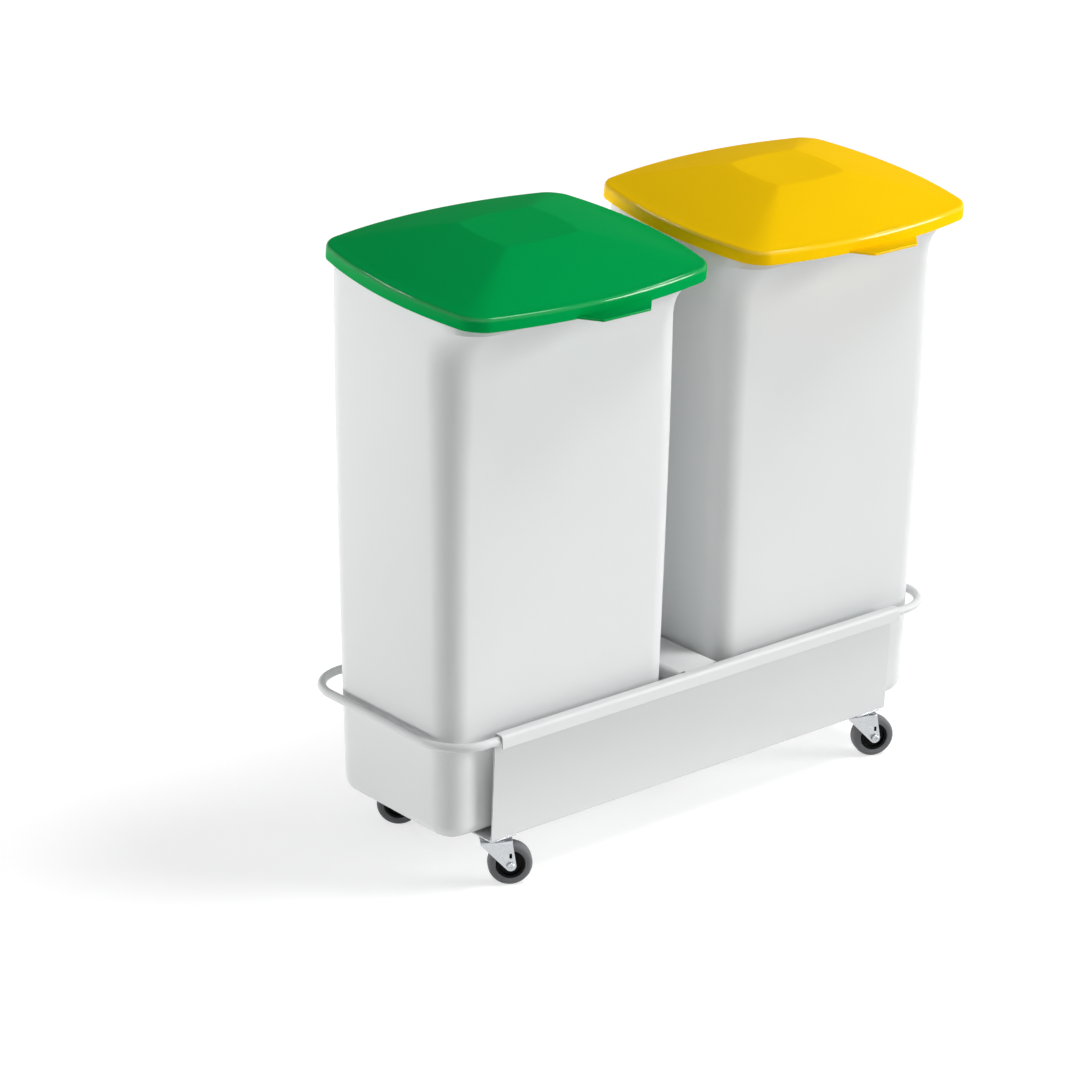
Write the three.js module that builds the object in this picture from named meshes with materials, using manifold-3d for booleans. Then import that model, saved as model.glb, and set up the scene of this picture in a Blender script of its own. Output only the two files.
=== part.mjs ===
// Double recycling bin: two lidded tubs that stand side by side in a wheeled steel trolley.
//
// Millimetres. +X runs along the trolley, -Y is the front with the lids' grip lips, +Z is up.
// Each tub lifts straight out, each lid swings up about pins behind the tub, each castor swivels
// about its kingpin and each wheel turns on its axle.
import * as THREE from 'three';
import { mergeVertices } from 'three/addons/utils/BufferGeometryUtils.js';
import Module from 'manifold-3d';

const wasm = await Module();
wasm.setup();

// ---------------------------------------------------------------- driving dimensions

// Clearances between separate pieces.
const seatGap = 0.3;
const runningGap = 0.25;

// Trolley ring: one closed loop of round rod. The gaps run from the tubs' feet to its middle line.
const rodDiameter = 10;
const ringEndGap = 13;
const ringFrontGap = 25;
const ringCornerRadius = 50;

// Folded sheet panels that hang on the ring, front and rear.
const sheetThickness = 2;
const sheetBendRadius = 2;
const panelEndGap = 15.5;
const panelTopHeight = 196;
const hookLipDrop = 15.5;
const panelLean = 8;
const flangeWidth = 56;

// Bridge between the tubs.
const bridgeWidth = 57;
const bridgeSideGap = 8.5;
const bridgeSideDrop = 16;
const bridgeTopDrop = 2.5;
const bridgeNotchWidth = 7;
const bridgeNotchLength = 4.5;
const bridgeNotchDepth = 5;

// Castors.
const castorHeight = 61;
const castorEndInset = 21;
const castorSideInset = 18.2;
const castorTrail = 15.5;
const wheelRadius = 25;
const tyreWidth = 18;
const tyreShoulder = 4;
const coreRadius = 16.3;
const coreRimWidth = 16;
const coreRimDepth = 2.8;
const coreWebWidth = 8;
const hubRadius = 7.5;
const hubWidth = 19;
const plateLength = 36;
const plateWidth = 32;
const plateThickness = 2;
const plateCornerRadius = 3;
const raceHeight = 3;
const raceRadius = 11.5;
const forkSheet = 2;
const forkInnerWidth = 20.6;
const forkCrownLength = 36;
const cheekEndRadius = 6.3;
const cheekTipDepth = 3.5;
const cheekSlotWidth = 3;
const cheekSlotHeight = 5.8;
const cheekSlotRise = 12;
const kingpinRadius = 3.9;
const kingpinHeadRadius = 6.5;
const kingpinHeadHeight = 2;
const kingpinFlare = 1.7;
const axleRadius = 2.5;
const sleeveRadius = 4;
const boltHeadRadius = 4.3;
const boltHeadHeight = 2.4;
const boltEndLength = 1;
const nutAcrossFlats = 8;
const nutHeight = 4;
const rivetRadius = 2;
const rivetHeadRadius = 3.4;
const rivetHeadHeight = 1.2;
const rivetSpacingX = 26;
const rivetSpacingY = 20;
// Where each castor happens to point, in degrees from +X.
const castorHeadings = { front_left: -33, front_right: -24, rear_left: -40, rear_right: -30 };

// Tubs.
const tubBaseWidth = 314;
const tubTopWidth = 332;
const tubBaseFront = 110;
const tubTopFront = 131;
const tubBack = 97;
const tubWall = 3;
const tubBaseCornerRadius = 30;
const tubTopCornerRadius = 44;
const tubBaseEdgeRadius = 20;
const footInset = 26;
const footWidth = 6;
const footHeight = 4;
const coveRadius = 55;
const coveTurn = THREE.MathUtils.degToRad(60);
const rimBandHeight = 25;

// Lids: bowed in plan, a low pyramid with a flat top.
const lidHeight = 698;
const lidTilt = THREE.MathUtils.degToRad(5.5);
const lidCentreY = -38.5;
const lidHalfWidth = 181;
const lidHalfDepth = 155.5;
const lidSideBow = 19;
const lidEndBow = 21;
const lidCornerRadius = 20;
const lidSkin = 2.5;
const lidEdgeRadius = 5;
const skirtDrop = 16;
const rimDrop = 3.6;
const plateauHalfWidth = 55;
const plateauHalfDepth = 47;
const plateauBow = 5;
const plateauCornerRadius = 3;
const plateauRise = 29;
const slopeCrown = 0.2;
const gripRootWidth = 100;
const gripTipWidth = 64;
const gripOffset = 9;
const gripReach = 20;
const gripThickness = 3;

// Lid hinges.
const hingeOffset = 60;
const hingeReach = 4.8;
const hingeRise = 4;
const knuckleWidth = 16;
const knuckleRadius = 4.5;
const lugThickness = 5;
const lugRadius = 4;
const lugArmTop = 5.9;
const lugArmDepth = 17;
const pinRadius = 2;
const pinHeadRadius = 3;
const pinHeadHeight = 1.5;

// Smoothness of round stretches.
const rodSides = 12;
const ringCornerSteps = 7;
const tubCornerSteps = 5;
const lidCornerSteps = 3;
const lidSideSteps = 6;
const wheelSteps = 24;
const raceSteps = 16;
const boreSteps = 10;
const rivetSteps = 8;
const bendSteps = 2;

// ---------------------------------------------------------------- sizes that follow

// The tubs stand on both sides of the bridge, and the ring runs round both.
const tubPitch = tubBaseWidth + bridgeWidth + 2 * bridgeSideGap;
const ringHalfLength = (tubPitch + tubBaseWidth) / 2 + ringEndGap;
const ringHalfWidth = tubBaseFront + ringFrontGap;

// The panels hang on the straight stretches of the ring and carry the castors near their ends.
const rodRadius = rodDiameter / 2;
const halfSheet = sheetThickness / 2;
const panelLength = 2 * (ringHalfLength - ringCornerRadius - panelEndGap);
const ringHeight = panelTopHeight - sheetThickness - seatGap - rodRadius;
const hookHalfWidth = rodRadius + seatGap + halfSheet;
const panelSheetTopY = ringHalfWidth - hookHalfWidth;
const panelSheetBottomY = panelSheetTopY - panelLean;
const panelHookOuterY = ringHalfWidth + hookHalfWidth + halfSheet;
const castorSpacingX = panelLength - 2 * castorEndInset;
const castorSpacingY = 2 * (panelSheetBottomY - castorSideInset);
const flangeBottom = castorHeight;
const flangeTop = flangeBottom + sheetThickness;
const bridgeTop = panelTopHeight - bridgeTopDrop;

const tubFootBottom = flangeTop + seatGap;
const tubFloorHeight = tubFootBottom + footHeight;
const rimHeight = lidHeight - rimDrop / Math.cos(lidTilt);
const rimSlope = Math.tan(lidTilt);

// ---------------------------------------------------------------- solid helpers

// Shared vertices and no zero-area slivers, so that the mesh is one closed skin.
function closedGeometry(source) {
  const plain = source.clone();
  plain.deleteAttribute('normal');
  plain.deleteAttribute('uv');
  const merged = mergeVertices(plain, 1e-4);
  const index = merged.index.array;
  const kept = [];
  for (let i = 0; i < index.length; i += 3) {
    const [a, b, c] = [index[i], index[i + 1], index[i + 2]];
    if (a !== b && b !== c && c !== a) kept.push(a, b, c);
  }
  merged.setIndex(kept);
  return merged;
}

function solidFrom(source) {
  const geometry = closedGeometry(source);
  const vertProperties = new Float32Array(geometry.attributes.position.array);
  const triVerts = new Uint32Array(geometry.index.array);
  return new wasm.Manifold(new wasm.Mesh({ numProp: 3, vertProperties, triVerts }));
}

function geometryFrom(solid) {
  const mesh = solid.getMesh();
  const geometry = new THREE.BufferGeometry();
  geometry.setAttribute('position', new THREE.BufferAttribute(new Float32Array(mesh.vertProperties), 3));
  geometry.setIndex(Array.from(mesh.triVerts));
  return geometry;
}

const cut = (body, ...tools) => geometryFrom(
  tools.reduce((solid, tool) => solid.subtract(solidFrom(tool)), solidFrom(body)));
const join = (...bodies) => geometryFrom(
  bodies.slice(1).reduce((solid, body) => solid.add(solidFrom(body)), solidFrom(bodies[0])));
const common = (first, second) => geometryFrom(solidFrom(first).intersect(solidFrom(second)));

// A solid skin through rings of equal point counts; the first and last ring are closed by fans.
function loft(rings) {
  const count = rings[0].length;
  const middle = (ring) => ring.reduce((sum, p) => sum.add(p), new THREE.Vector3()).divideScalar(count);
  const points = [...rings.flat(), middle(rings[0]), middle(rings.at(-1))];
  const firstMiddle = points.length - 2;
  const lastMiddle = points.length - 1;
  const lastRing = (rings.length - 1) * count;
  const faces = [];
  for (let i = 0; i < count; i += 1) {
    const next = (i + 1) % count;
    for (let r = 0; r < rings.length - 1; r += 1) {
      const low = r * count;
      const high = low + count;
      faces.push(low + i, low + next, high + next, low + i, high + next, high + i);
    }
    faces.push(firstMiddle, next, i, lastMiddle, lastRing + i, lastRing + next);
  }
  const geometry = new THREE.BufferGeometry().setFromPoints(points);
  geometry.setIndex(faces);
  return geometry;
}

function box(width, depth, height, x, y, z) {
  return new THREE.BoxGeometry(width, depth, height).translate(x, y, z);
}

// A round solid or hole about the Y axis through (x, z).
function crossRod(radius, length, x, z, steps = boreSteps) {
  return new THREE.CylinderGeometry(radius, radius, length, steps).translate(x, 0, z);
}

// A turned piece about the Z axis from its [radius, height] profile.
function turned(profile, steps = boreSteps) {
  const points = profile.map(([radius, height]) => new THREE.Vector2(radius, height));
  return new THREE.LatheGeometry(points, steps).rotateX(Math.PI / 2);
}

// The outline of a folded sheet: its centre line with rounded bends, thickened to both sides.
function sheetOutline(corners, thickness, bendRadius) {
  const middleRadius = bendRadius + thickness / 2;
  const line = [{ point: corners[0], normal: sideOf(corners[0], corners[1]) }];
  for (let i = 1; i < corners.length - 1; i += 1) {
    const before = corners[i].clone().sub(corners[i - 1]).normalize();
    const after = corners[i + 1].clone().sub(corners[i]).normalize();
    const turn = Math.atan2(before.cross(after), before.dot(after));
    const setback = middleRadius * Math.tan(Math.abs(turn) / 2);
    const start = corners[i].clone().addScaledVector(before, -setback);
    const toCentre = new THREE.Vector2(-before.y, before.x).multiplyScalar(Math.sign(turn));
    const centre = start.clone().addScaledVector(toCentre, middleRadius);
    for (let step = 0; step <= bendSteps; step += 1) {
      const angle = (turn * step) / bendSteps;
      const point = start.clone().rotateAround(centre, angle);
      const normal = new THREE.Vector2(-before.y, before.x).rotateAround(new THREE.Vector2(), angle);
      line.push({ point, normal });
    }
  }
  const last = corners.length - 1;
  line.push({ point: corners[last], normal: sideOf(corners[last - 1], corners[last]) });
  const shifted = (side) => line.map(({ point, normal }) => (
    point.clone().addScaledVector(normal, (side * thickness) / 2)));
  return new THREE.Shape([...shifted(1), ...shifted(-1).reverse()]);
}

function sideOf(from, to) {
  const along = to.clone().sub(from).normalize();
  return new THREE.Vector2(-along.y, along.x);
}

// Extrudes a profile drawn in (Y, Z) along X, centred on X = 0.
function extrudeAlongX(shape, length, curveSegments = boreSteps) {
  const basis = new THREE.Matrix4().makeBasis(
    new THREE.Vector3(0, 1, 0), new THREE.Vector3(0, 0, 1), new THREE.Vector3(1, 0, 0));
  const options = { depth: length, bevelEnabled: false, curveSegments };
  return new THREE.ExtrudeGeometry(shape, options).translate(0, 0, -length / 2).applyMatrix4(basis);
}

// Extrudes a profile drawn in (X, Z) along Y, centred on Y = 0.
function extrudeAlongY(shape, length, curveSegments = boreSteps) {
  const options = { depth: length, bevelEnabled: false, curveSegments };
  return new THREE.ExtrudeGeometry(shape, options).translate(0, 0, -length / 2).rotateX(Math.PI / 2);
}

// Extrudes a profile drawn in (X, Y) upwards from Z = 0.
function extrudeUp(shape, height, curveSegments = boreSteps) {
  return new THREE.ExtrudeGeometry(shape, { depth: height, bevelEnabled: false, curveSegments });
}

// A rounded rectangle, anticlockwise from the front right corner, with sideSteps points per side.
function roundedRectangle({ halfWidth, front, back, radius }, cornerSteps, sideSteps = 1) {
  const corners = [
    [halfWidth - radius, -front + radius, -Math.PI / 2],
    [halfWidth - radius, back - radius, 0],
    [-halfWidth + radius, back - radius, Math.PI / 2],
    [-halfWidth + radius, -front + radius, Math.PI],
  ];
  const points = [];
  corners.forEach(([x, y, startAngle], i) => {
    for (let step = 0; step <= cornerSteps; step += 1) {
      const angle = startAngle + (Math.PI / 2) * (step / cornerSteps);
      points.push(new THREE.Vector2(x + radius * Math.cos(angle), y + radius * Math.sin(angle)));
    }
    const [nextX, nextY, nextAngle] = corners[(i + 1) % corners.length];
    const from = points.at(-1).clone();
    const to = new THREE.Vector2(
      nextX + radius * Math.cos(nextAngle), nextY + radius * Math.sin(nextAngle));
    for (let step = 1; step < sideSteps; step += 1) points.push(from.clone().lerp(to, step / sideSteps));
  });
  return points;
}

// ---------------------------------------------------------------- materials

function finish(name, color, roughness, metalness = 0) {
  return new THREE.MeshStandardMaterial({ name, color, roughness, metalness });
}

const powderCoat = finish('powder_coat', 0xe9ebeb, 0.45);
const tubPlastic = finish('tub_plastic', 0xdfe2e4, 0.5);
const greenPlastic = finish('green_plastic', 0x009a4a, 0.22);
const yellowPlastic = finish('yellow_plastic', 0xf6c90e, 0.22);
const zinc = finish('zinc', 0xb9bdc0, 0.35, 0.9);
const tyreRubber = finish('tyre_rubber', 0x55585b, 0.7);
const corePlastic = finish('core_plastic', 0x0d0d0e, 0.5);

function piece(name, geometry, material) {
  const closed = closedGeometry(geometry);
  closed.computeVertexNormals();
  const mesh = new THREE.Mesh(closed, material);
  mesh.name = name;
  return mesh;
}

// ---------------------------------------------------------------- trolley ring

// Round rod bent to a rounded rectangle and butt welded, so the tube closes on itself.
function ringGeometry() {
  const size = {
    halfWidth: ringHalfLength, front: ringHalfWidth, back: ringHalfWidth, radius: ringCornerRadius,
  };
  const path = roundedRectangle(size, ringCornerSteps);
  const positions = [];
  path.forEach((point, i) => {
    const before = path[(i + path.length - 1) % path.length];
    const after = path[(i + 1) % path.length];
    const inward = point.clone().sub(before).normalize();
    const outward = after.clone().sub(point).normalize();
    const along = inward.add(outward).normalize();
    const side = new THREE.Vector2(along.y, -along.x);
    for (let k = 0; k < rodSides; k += 1) {
      const angle = (k / rodSides) * 2 * Math.PI;
      const reach = rodRadius * Math.cos(angle);
      const rise = rodRadius * Math.sin(angle);
      positions.push(point.x + side.x * reach, point.y + side.y * reach, ringHeight + rise);
    }
  });
  const faces = [];
  for (let i = 0; i < path.length; i += 1) {
    const here = i * rodSides;
    const there = ((i + 1) % path.length) * rodSides;
    for (let k = 0; k < rodSides; k += 1) {
      const next = (k + 1) % rodSides;
      faces.push(here + k, there + k, there + next, here + k, there + next, here + next);
    }
  }
  const geometry = new THREE.BufferGeometry();
  geometry.setAttribute('position', new THREE.Float32BufferAttribute(positions, 3));
  geometry.setIndex(faces);
  return geometry;
}

// ---------------------------------------------------------------- panels and bridge

// The outer surface of the panels' main sheet at a height, as a distance from the centre line.
function panelSheetY(height) {
  const share = (panelTopHeight - height) / (panelTopHeight - flangeBottom);
  return panelSheetTopY - panelLean * share;
}

function rivetPlaces() {
  const places = [];
  for (const sideX of [-1, 1]) {
    for (const end of [-1, 1]) {
      places.push([
        (sideX * castorSpacingX) / 2 + (end * rivetSpacingX) / 2,
        castorSpacingY / 2 + (end * rivetSpacingY) / 2,
      ]);
    }
  }
  return places;
}

// One sheet: hook lip, flat top over the rod, leaning main sheet, inward flange under the tubs.
function panelGeometry() {
  const corner = (y, z) => new THREE.Vector2(y, z);
  const outline = sheetOutline([
    corner(ringHalfWidth + hookHalfWidth, panelTopHeight - hookLipDrop),
    corner(ringHalfWidth + hookHalfWidth, panelTopHeight - halfSheet),
    corner(panelSheetTopY, panelTopHeight - halfSheet),
    corner(panelSheetBottomY, flangeBottom + halfSheet),
    corner(panelSheetBottomY - flangeWidth, flangeBottom + halfSheet),
  ], sheetThickness, sheetBendRadius);
  const holes = rivetPlaces().map(([x, y]) => (
    turned([[0, -sheetThickness], [rivetRadius + seatGap, -sheetThickness],
      [rivetRadius + seatGap, sheetThickness], [0, sheetThickness]])
      .translate(x, y, flangeBottom + halfSheet)));
  return cut(extrudeAlongX(outline, panelLength), ...holes);
}

// A folded channel between the tubs whose ends follow the lean of the panels.
function bridgeGeometry() {
  const halfWidth = bridgeWidth / 2 - halfSheet;
  const outline = sheetOutline([
    new THREE.Vector2(-halfWidth, bridgeTop - bridgeSideDrop),
    new THREE.Vector2(-halfWidth, bridgeTop - halfSheet),
    new THREE.Vector2(halfWidth, bridgeTop - halfSheet),
    new THREE.Vector2(halfWidth, bridgeTop - bridgeSideDrop),
  ], sheetThickness, sheetBendRadius);
  const channel = extrudeAlongY(outline, 2 * ringHalfWidth);
  const places = channel.attributes.position;
  for (let i = 0; i < places.count; i += 1) {
    const reach = panelSheetY(places.getZ(i)) - halfSheet - seatGap;
    places.setY(i, Math.sign(places.getY(i)) * reach);
  }
  const notches = [];
  for (const sideX of [-1, 1]) {
    for (const sideY of [-1, 1]) {
      notches.push(box(
        2 * bridgeNotchWidth, 2 * bridgeNotchLength, 2 * bridgeNotchDepth,
        (sideX * bridgeWidth) / 2, sideY * (panelSheetY(bridgeTop) - halfSheet), bridgeTop));
    }
  }
  return cut(channel, ...notches);
}

// ---------------------------------------------------------------- castors

const plateTop = castorHeight - seatGap;
const plateBottom = plateTop - plateThickness;
const raceTop = plateBottom - seatGap;
const crownTop = raceTop - raceHeight - seatGap;
const crownBottom = crownTop - forkSheet;
const cheekOuter = forkInnerWidth / 2 + forkSheet;
const kingpinHoleRadius = kingpinRadius + seatGap;
const axleHoleRadius = axleRadius + seatGap;

function castorPlateGeometry() {
  const size = {
    halfWidth: plateLength / 2, front: plateWidth / 2, back: plateWidth / 2, radius: plateCornerRadius,
  };
  const blank = extrudeUp(new THREE.Shape(roundedRectangle(size, bendSteps)), plateThickness)
    .translate(0, 0, plateBottom);
  const seat = turned([
    [0, plateBottom - 1], [kingpinHoleRadius, plateBottom - 1], [kingpinHoleRadius, plateBottom],
    [kingpinHoleRadius + kingpinFlare, plateTop], [kingpinHoleRadius + kingpinFlare, plateTop + 1],
    [0, plateTop + 1],
  ]);
  const holes = [-1, 1].map((end) => turned([
    [0, plateBottom - 1], [rivetRadius + seatGap, plateBottom - 1],
    [rivetRadius + seatGap, plateTop + 1], [0, plateTop + 1],
  ]).translate((end * rivetSpacingX) / 2, (end * rivetSpacingY) / 2, 0));
  return cut(blank, seat, ...holes);
}

function raceGeometry() {
  const bore = kingpinHoleRadius;
  const bottom = raceTop - raceHeight;
  const bevel = raceHeight / 3;
  return turned([
    [bore, bottom], [raceRadius - bevel, bottom], [raceRadius, bottom + bevel],
    [raceRadius, raceTop - bevel], [raceRadius - bevel, raceTop], [bore, raceTop], [bore, bottom],
  ], raceSteps);
}

// Peened below the fork and countersunk into the plate.
function kingpinGeometry() {
  const headTop = crownBottom - seatGap;
  const bevel = kingpinHeadHeight / 3;
  const top = plateTop - seatGap;
  return turned([
    [0, headTop - kingpinHeadHeight], [kingpinHeadRadius - bevel, headTop - kingpinHeadHeight],
    [kingpinHeadRadius, headTop - kingpinHeadHeight + bevel], [kingpinHeadRadius, headTop],
    [kingpinRadius, headTop], [kingpinRadius, plateBottom], [kingpinRadius + kingpinFlare, top],
    [0, top],
  ]);
}

// Bent strip with tapered cheeks, a round end about the axle and a slot above it.
function forkGeometry() {
  const halfGap = (forkInnerWidth + forkSheet) / 2;
  const strip = extrudeAlongX(sheetOutline([
    new THREE.Vector2(-halfGap, 0), new THREE.Vector2(-halfGap, crownTop - forkSheet / 2),
    new THREE.Vector2(halfGap, crownTop - forkSheet / 2), new THREE.Vector2(halfGap, 0),
  ], forkSheet, forkSheet / 2), 4 * forkCrownLength);
  const halfCrown = forkCrownLength / 2;
  const axle = new THREE.Vector2(castorTrail, wheelRadius);
  const tip = new THREE.Vector2(-halfCrown, crownTop - cheekTipDepth);
  const away = axle.clone().sub(tip);
  const lean = Math.asin(cheekEndRadius / away.length());
  const slopeAngle = Math.atan2(away.y, away.x) - lean - Math.PI / 2;
  const side = new THREE.Shape();
  side.moveTo(-halfCrown, crownTop + forkSheet);
  side.lineTo(tip.x, tip.y);
  side.absarc(axle.x, axle.y, cheekEndRadius, slopeAngle, 0, false);
  side.lineTo(halfCrown, crownTop + forkSheet);
  const blank = common(strip, extrudeAlongY(side, 4 * cheekOuter));
  return cut(
    blank,
    turned([[0, 0], [kingpinHoleRadius, 0], [kingpinHoleRadius, castorHeight], [0, castorHeight]]),
    crossRod(axleHoleRadius, 4 * cheekOuter, castorTrail, wheelRadius),
    box(cheekSlotWidth, 4 * cheekOuter, cheekSlotHeight,
      castorTrail, 0, wheelRadius + cheekSlotRise),
  );
}

// Wheel parts are turned about the axle, which is the local Y axis.
function aboutAxle(profile, steps) {
  const points = profile.map(([radius, place]) => new THREE.Vector2(radius, place));
  return new THREE.LatheGeometry(points, steps)
    .rotateY(Math.PI / steps)
    .translate(castorTrail, 0, wheelRadius);
}

function tyreGeometry() {
  // The flats of the turned polygon lie on the true radius, so that one rests on the floor.
  const outer = wheelRadius / Math.cos(Math.PI / wheelSteps);
  const inner = coreRadius + seatGap;
  const half = tyreWidth / 2;
  const slant = tyreShoulder * 0.3;
  return aboutAxle([
    [inner, -half], [outer - tyreShoulder, -half], [outer - slant, -half + slant],
    [outer, -half + tyreShoulder], [outer, half - tyreShoulder], [outer - slant, half - slant],
    [outer - tyreShoulder, half], [inner, half], [inner, -half],
  ], wheelSteps);
}

function coreGeometry() {
  const bore = sleeveRadius + runningGap;
  const rimInner = coreRadius - coreRimDepth;
  const halfHub = hubWidth / 2;
  const halfWeb = coreWebWidth / 2;
  const halfRim = coreRimWidth / 2;
  return aboutAxle([
    [bore, -halfHub], [hubRadius, -halfHub], [hubRadius, -halfWeb], [rimInner, -halfWeb],
    [rimInner, -halfRim], [coreRadius, -halfRim], [coreRadius, halfRim], [rimInner, halfRim],
    [rimInner, halfWeb], [hubRadius, halfWeb], [hubRadius, halfHub], [bore, halfHub],
    [bore, -halfHub],
  ], wheelSteps);
}

function sleeveGeometry() {
  const half = forkInnerWidth / 2 - seatGap;
  const bore = axleHoleRadius;
  return aboutAxle(
    [[bore, -half], [sleeveRadius, -half], [sleeveRadius, half], [bore, half], [bore, -half]],
    boreSteps);
}

function boltGeometry() {
  const seat = -cheekOuter - seatGap;
  const end = cheekOuter + seatGap + nutHeight + boltEndLength;
  const round = boltHeadHeight / 2;
  return aboutAxle([
    [0, seat - boltHeadHeight], [boltHeadRadius - round, seat - boltHeadHeight],
    [boltHeadRadius, seat - boltHeadHeight + round], [boltHeadRadius, seat], [axleRadius, seat],
    [axleRadius, end], [0, end],
  ], boreSteps);
}

function nutGeometry() {
  const corner = nutAcrossFlats / 2 / Math.cos(Math.PI / 6);
  const hexagon = new THREE.Shape();
  for (let i = 0; i < 6; i += 1) {
    const angle = (i * Math.PI) / 3;
    const place = [corner * Math.cos(angle), corner * Math.sin(angle)];
    if (i === 0) hexagon.moveTo(...place);
    else hexagon.lineTo(...place);
  }
  hexagon.holes.push(new THREE.Path().absarc(0, 0, axleHoleRadius, 0, 2 * Math.PI, true));
  return extrudeAlongY(hexagon, nutHeight)
    .translate(castorTrail, cheekOuter + seatGap + nutHeight / 2, wheelRadius);
}

function rivetGeometry() {
  const low = plateBottom - seatGap;
  const high = flangeTop + seatGap;
  const bevel = rivetHeadHeight / 2;
  return turned([
    [0, low - rivetHeadHeight], [rivetHeadRadius, low - rivetHeadHeight + bevel],
    [rivetHeadRadius, low], [rivetRadius, low], [rivetRadius, high], [rivetHeadRadius, high],
    [rivetHeadRadius, high + rivetHeadHeight - bevel], [0, high + rivetHeadHeight],
  ], rivetSteps);
}

function castor(place, sideX, sideY) {
  const name = (part) => `castor_${place}_${part}`;
  const still = new THREE.Group();
  still.position.set((sideX * castorSpacingX) / 2, (sideY * castorSpacingY) / 2, 0);
  const swivel = new THREE.Group();
  swivel.rotation.z = THREE.MathUtils.degToRad(castorHeadings[place]);
  swivel.add(
    piece(name('fork'), forkGeometry(), zinc),
    piece(name('tyre'), tyreGeometry(), tyreRubber),
    piece(name('wheel_core'), coreGeometry(), corePlastic),
    piece(name('axle_sleeve'), sleeveGeometry(), zinc),
    piece(name('axle_bolt'), boltGeometry(), zinc),
    piece(name('axle_nut'), nutGeometry(), zinc),
  );
  still.add(
    piece(name('top_plate'), castorPlateGeometry(), zinc),
    piece(name('swivel_race'), raceGeometry(), zinc),
    piece(name('kingpin'), kingpinGeometry(), zinc),
    swivel,
  );
  [-1, 1].forEach((end, i) => {
    const rivet = piece(name(`rivet_${i + 1}`), rivetGeometry(), zinc);
    rivet.position.set((end * rivetSpacingX) / 2, (end * rivetSpacingY) / 2, 0);
    still.add(rivet);
  });
  return still;
}

// ---------------------------------------------------------------- tubs

// One horizontal ring of the tub wall. Towards the rim the rings tilt with the rim's slope.
function tubRing({ inset = 0, height, tilt = 0, flare = 0 }) {
  const share = (height - tubFloorHeight) / (rimHeight - tubFloorHeight);
  const mix = (base, top) => THREE.MathUtils.lerp(base, top, share);
  // The corners stay as they are at the foot for most of the height and open up under the rim.
  const growth = (tubTopCornerRadius - tubBaseCornerRadius) * Math.max(share, 0) ** 4;
  const radius = tubBaseCornerRadius + growth - inset;
  const outline = roundedRectangle({
    halfWidth: mix(tubBaseWidth, tubTopWidth) / 2 - inset,
    front: mix(tubBaseFront, tubTopFront) + flare - inset,
    back: tubBack - inset,
    radius: Math.max(radius, tubWall),
  }, tubCornerSteps);
  return outline.map(({ x, y }) => new THREE.Vector3(x, y, height + tilt * (y - lidCentreY) * rimSlope));
}

// The front wall sweeps out in a round cove below the band that the lid covers.
function coveRings(inset) {
  const steps = 5;
  const coveFoot = rimHeight - rimBandHeight - coveRadius * Math.sin(coveTurn);
  const rings = [];
  for (let step = 0; step <= steps; step += 1) {
    const angle = (coveTurn * step) / steps;
    const height = coveFoot + coveRadius * Math.sin(angle);
    rings.push(tubRing({ inset, height, tilt: 1, flare: coveRadius * (1 - Math.cos(angle)) }));
  }
  const fullFlare = coveRadius * (1 - Math.cos(coveTurn));
  rings.push(tubRing({ inset, height: rimHeight, tilt: 1, flare: fullFlare }));
  return rings;
}

function baseEdgeRings(inset, floor) {
  const steps = 3;
  const radius = tubBaseEdgeRadius - inset;
  const rings = [];
  for (let step = 0; step <= steps; step += 1) {
    const angle = (Math.PI / 2) * (step / steps);
    rings.push(tubRing({
      inset: inset + radius * (1 - Math.sin(angle)),
      height: floor + radius * (1 - Math.cos(angle)),
    }));
  }
  return rings;
}

function tubShell() {
  const footRing = (inset, height) => tubRing({ inset, height });
  const outer = [
    footRing(footInset + footWidth, tubFloorHeight),
    footRing(footInset + footWidth, tubFootBottom),
    footRing(footInset, tubFootBottom),
    footRing(footInset, tubFloorHeight),
    ...baseEdgeRings(0, tubFloorHeight),
    ...coveRings(0),
  ];
  const inner = [
    ...baseEdgeRings(tubWall, tubFloorHeight + tubWall),
    ...coveRings(tubWall),
  ];
  return loft([...outer, ...inner.reverse()]);
}

// The hinge axis, first in the lid's tilted frame and then beside the tub.
const hingeLidY = lidHalfDepth + hingeReach;
const hingeLidZ = -skirtDrop + hingeRise;
const hingeY = lidCentreY + hingeLidY * Math.cos(lidTilt) - hingeLidZ * Math.sin(lidTilt);
const hingeZ = lidHeight + hingeLidY * Math.sin(lidTilt) + hingeLidZ * Math.cos(lidTilt);
const lugHoleRadius = pinRadius + runningGap;
const lugFaceOffset = knuckleWidth / 2 + seatGap;

// A lug reaches out under the lid's skirt and up to the pin behind it.
function lugGeometry(x) {
  const root = tubBack - tubWall / 2;
  const lug = new THREE.Shape();
  lug.moveTo(root, hingeZ - lugArmTop - lugArmDepth);
  lug.lineTo(hingeY + lugRadius, hingeZ - lugArmTop);
  lug.absarc(hingeY, hingeZ, lugRadius, 0, Math.PI, false);
  lug.lineTo(hingeY - lugRadius, hingeZ - lugArmTop);
  lug.lineTo(root, hingeZ - lugArmTop);
  return extrudeAlongX(lug, lugThickness, 2 * bendSteps).translate(x, 0, 0);
}

function tubGeometry() {
  const lugs = [];
  for (const side of [-1, 1]) {
    for (const face of [-1, 1]) {
      const x = side * hingeOffset + face * (lugFaceOffset + lugThickness / 2);
      lugs.push(lugGeometry(x));
    }
  }
  const pinHole = new THREE.CylinderGeometry(lugHoleRadius, lugHoleRadius, tubTopWidth, boreSteps)
    .rotateZ(Math.PI / 2)
    .translate(0, hingeY, hingeZ);
  return cut(join(tubShell(), ...lugs), pinHole);
}

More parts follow.
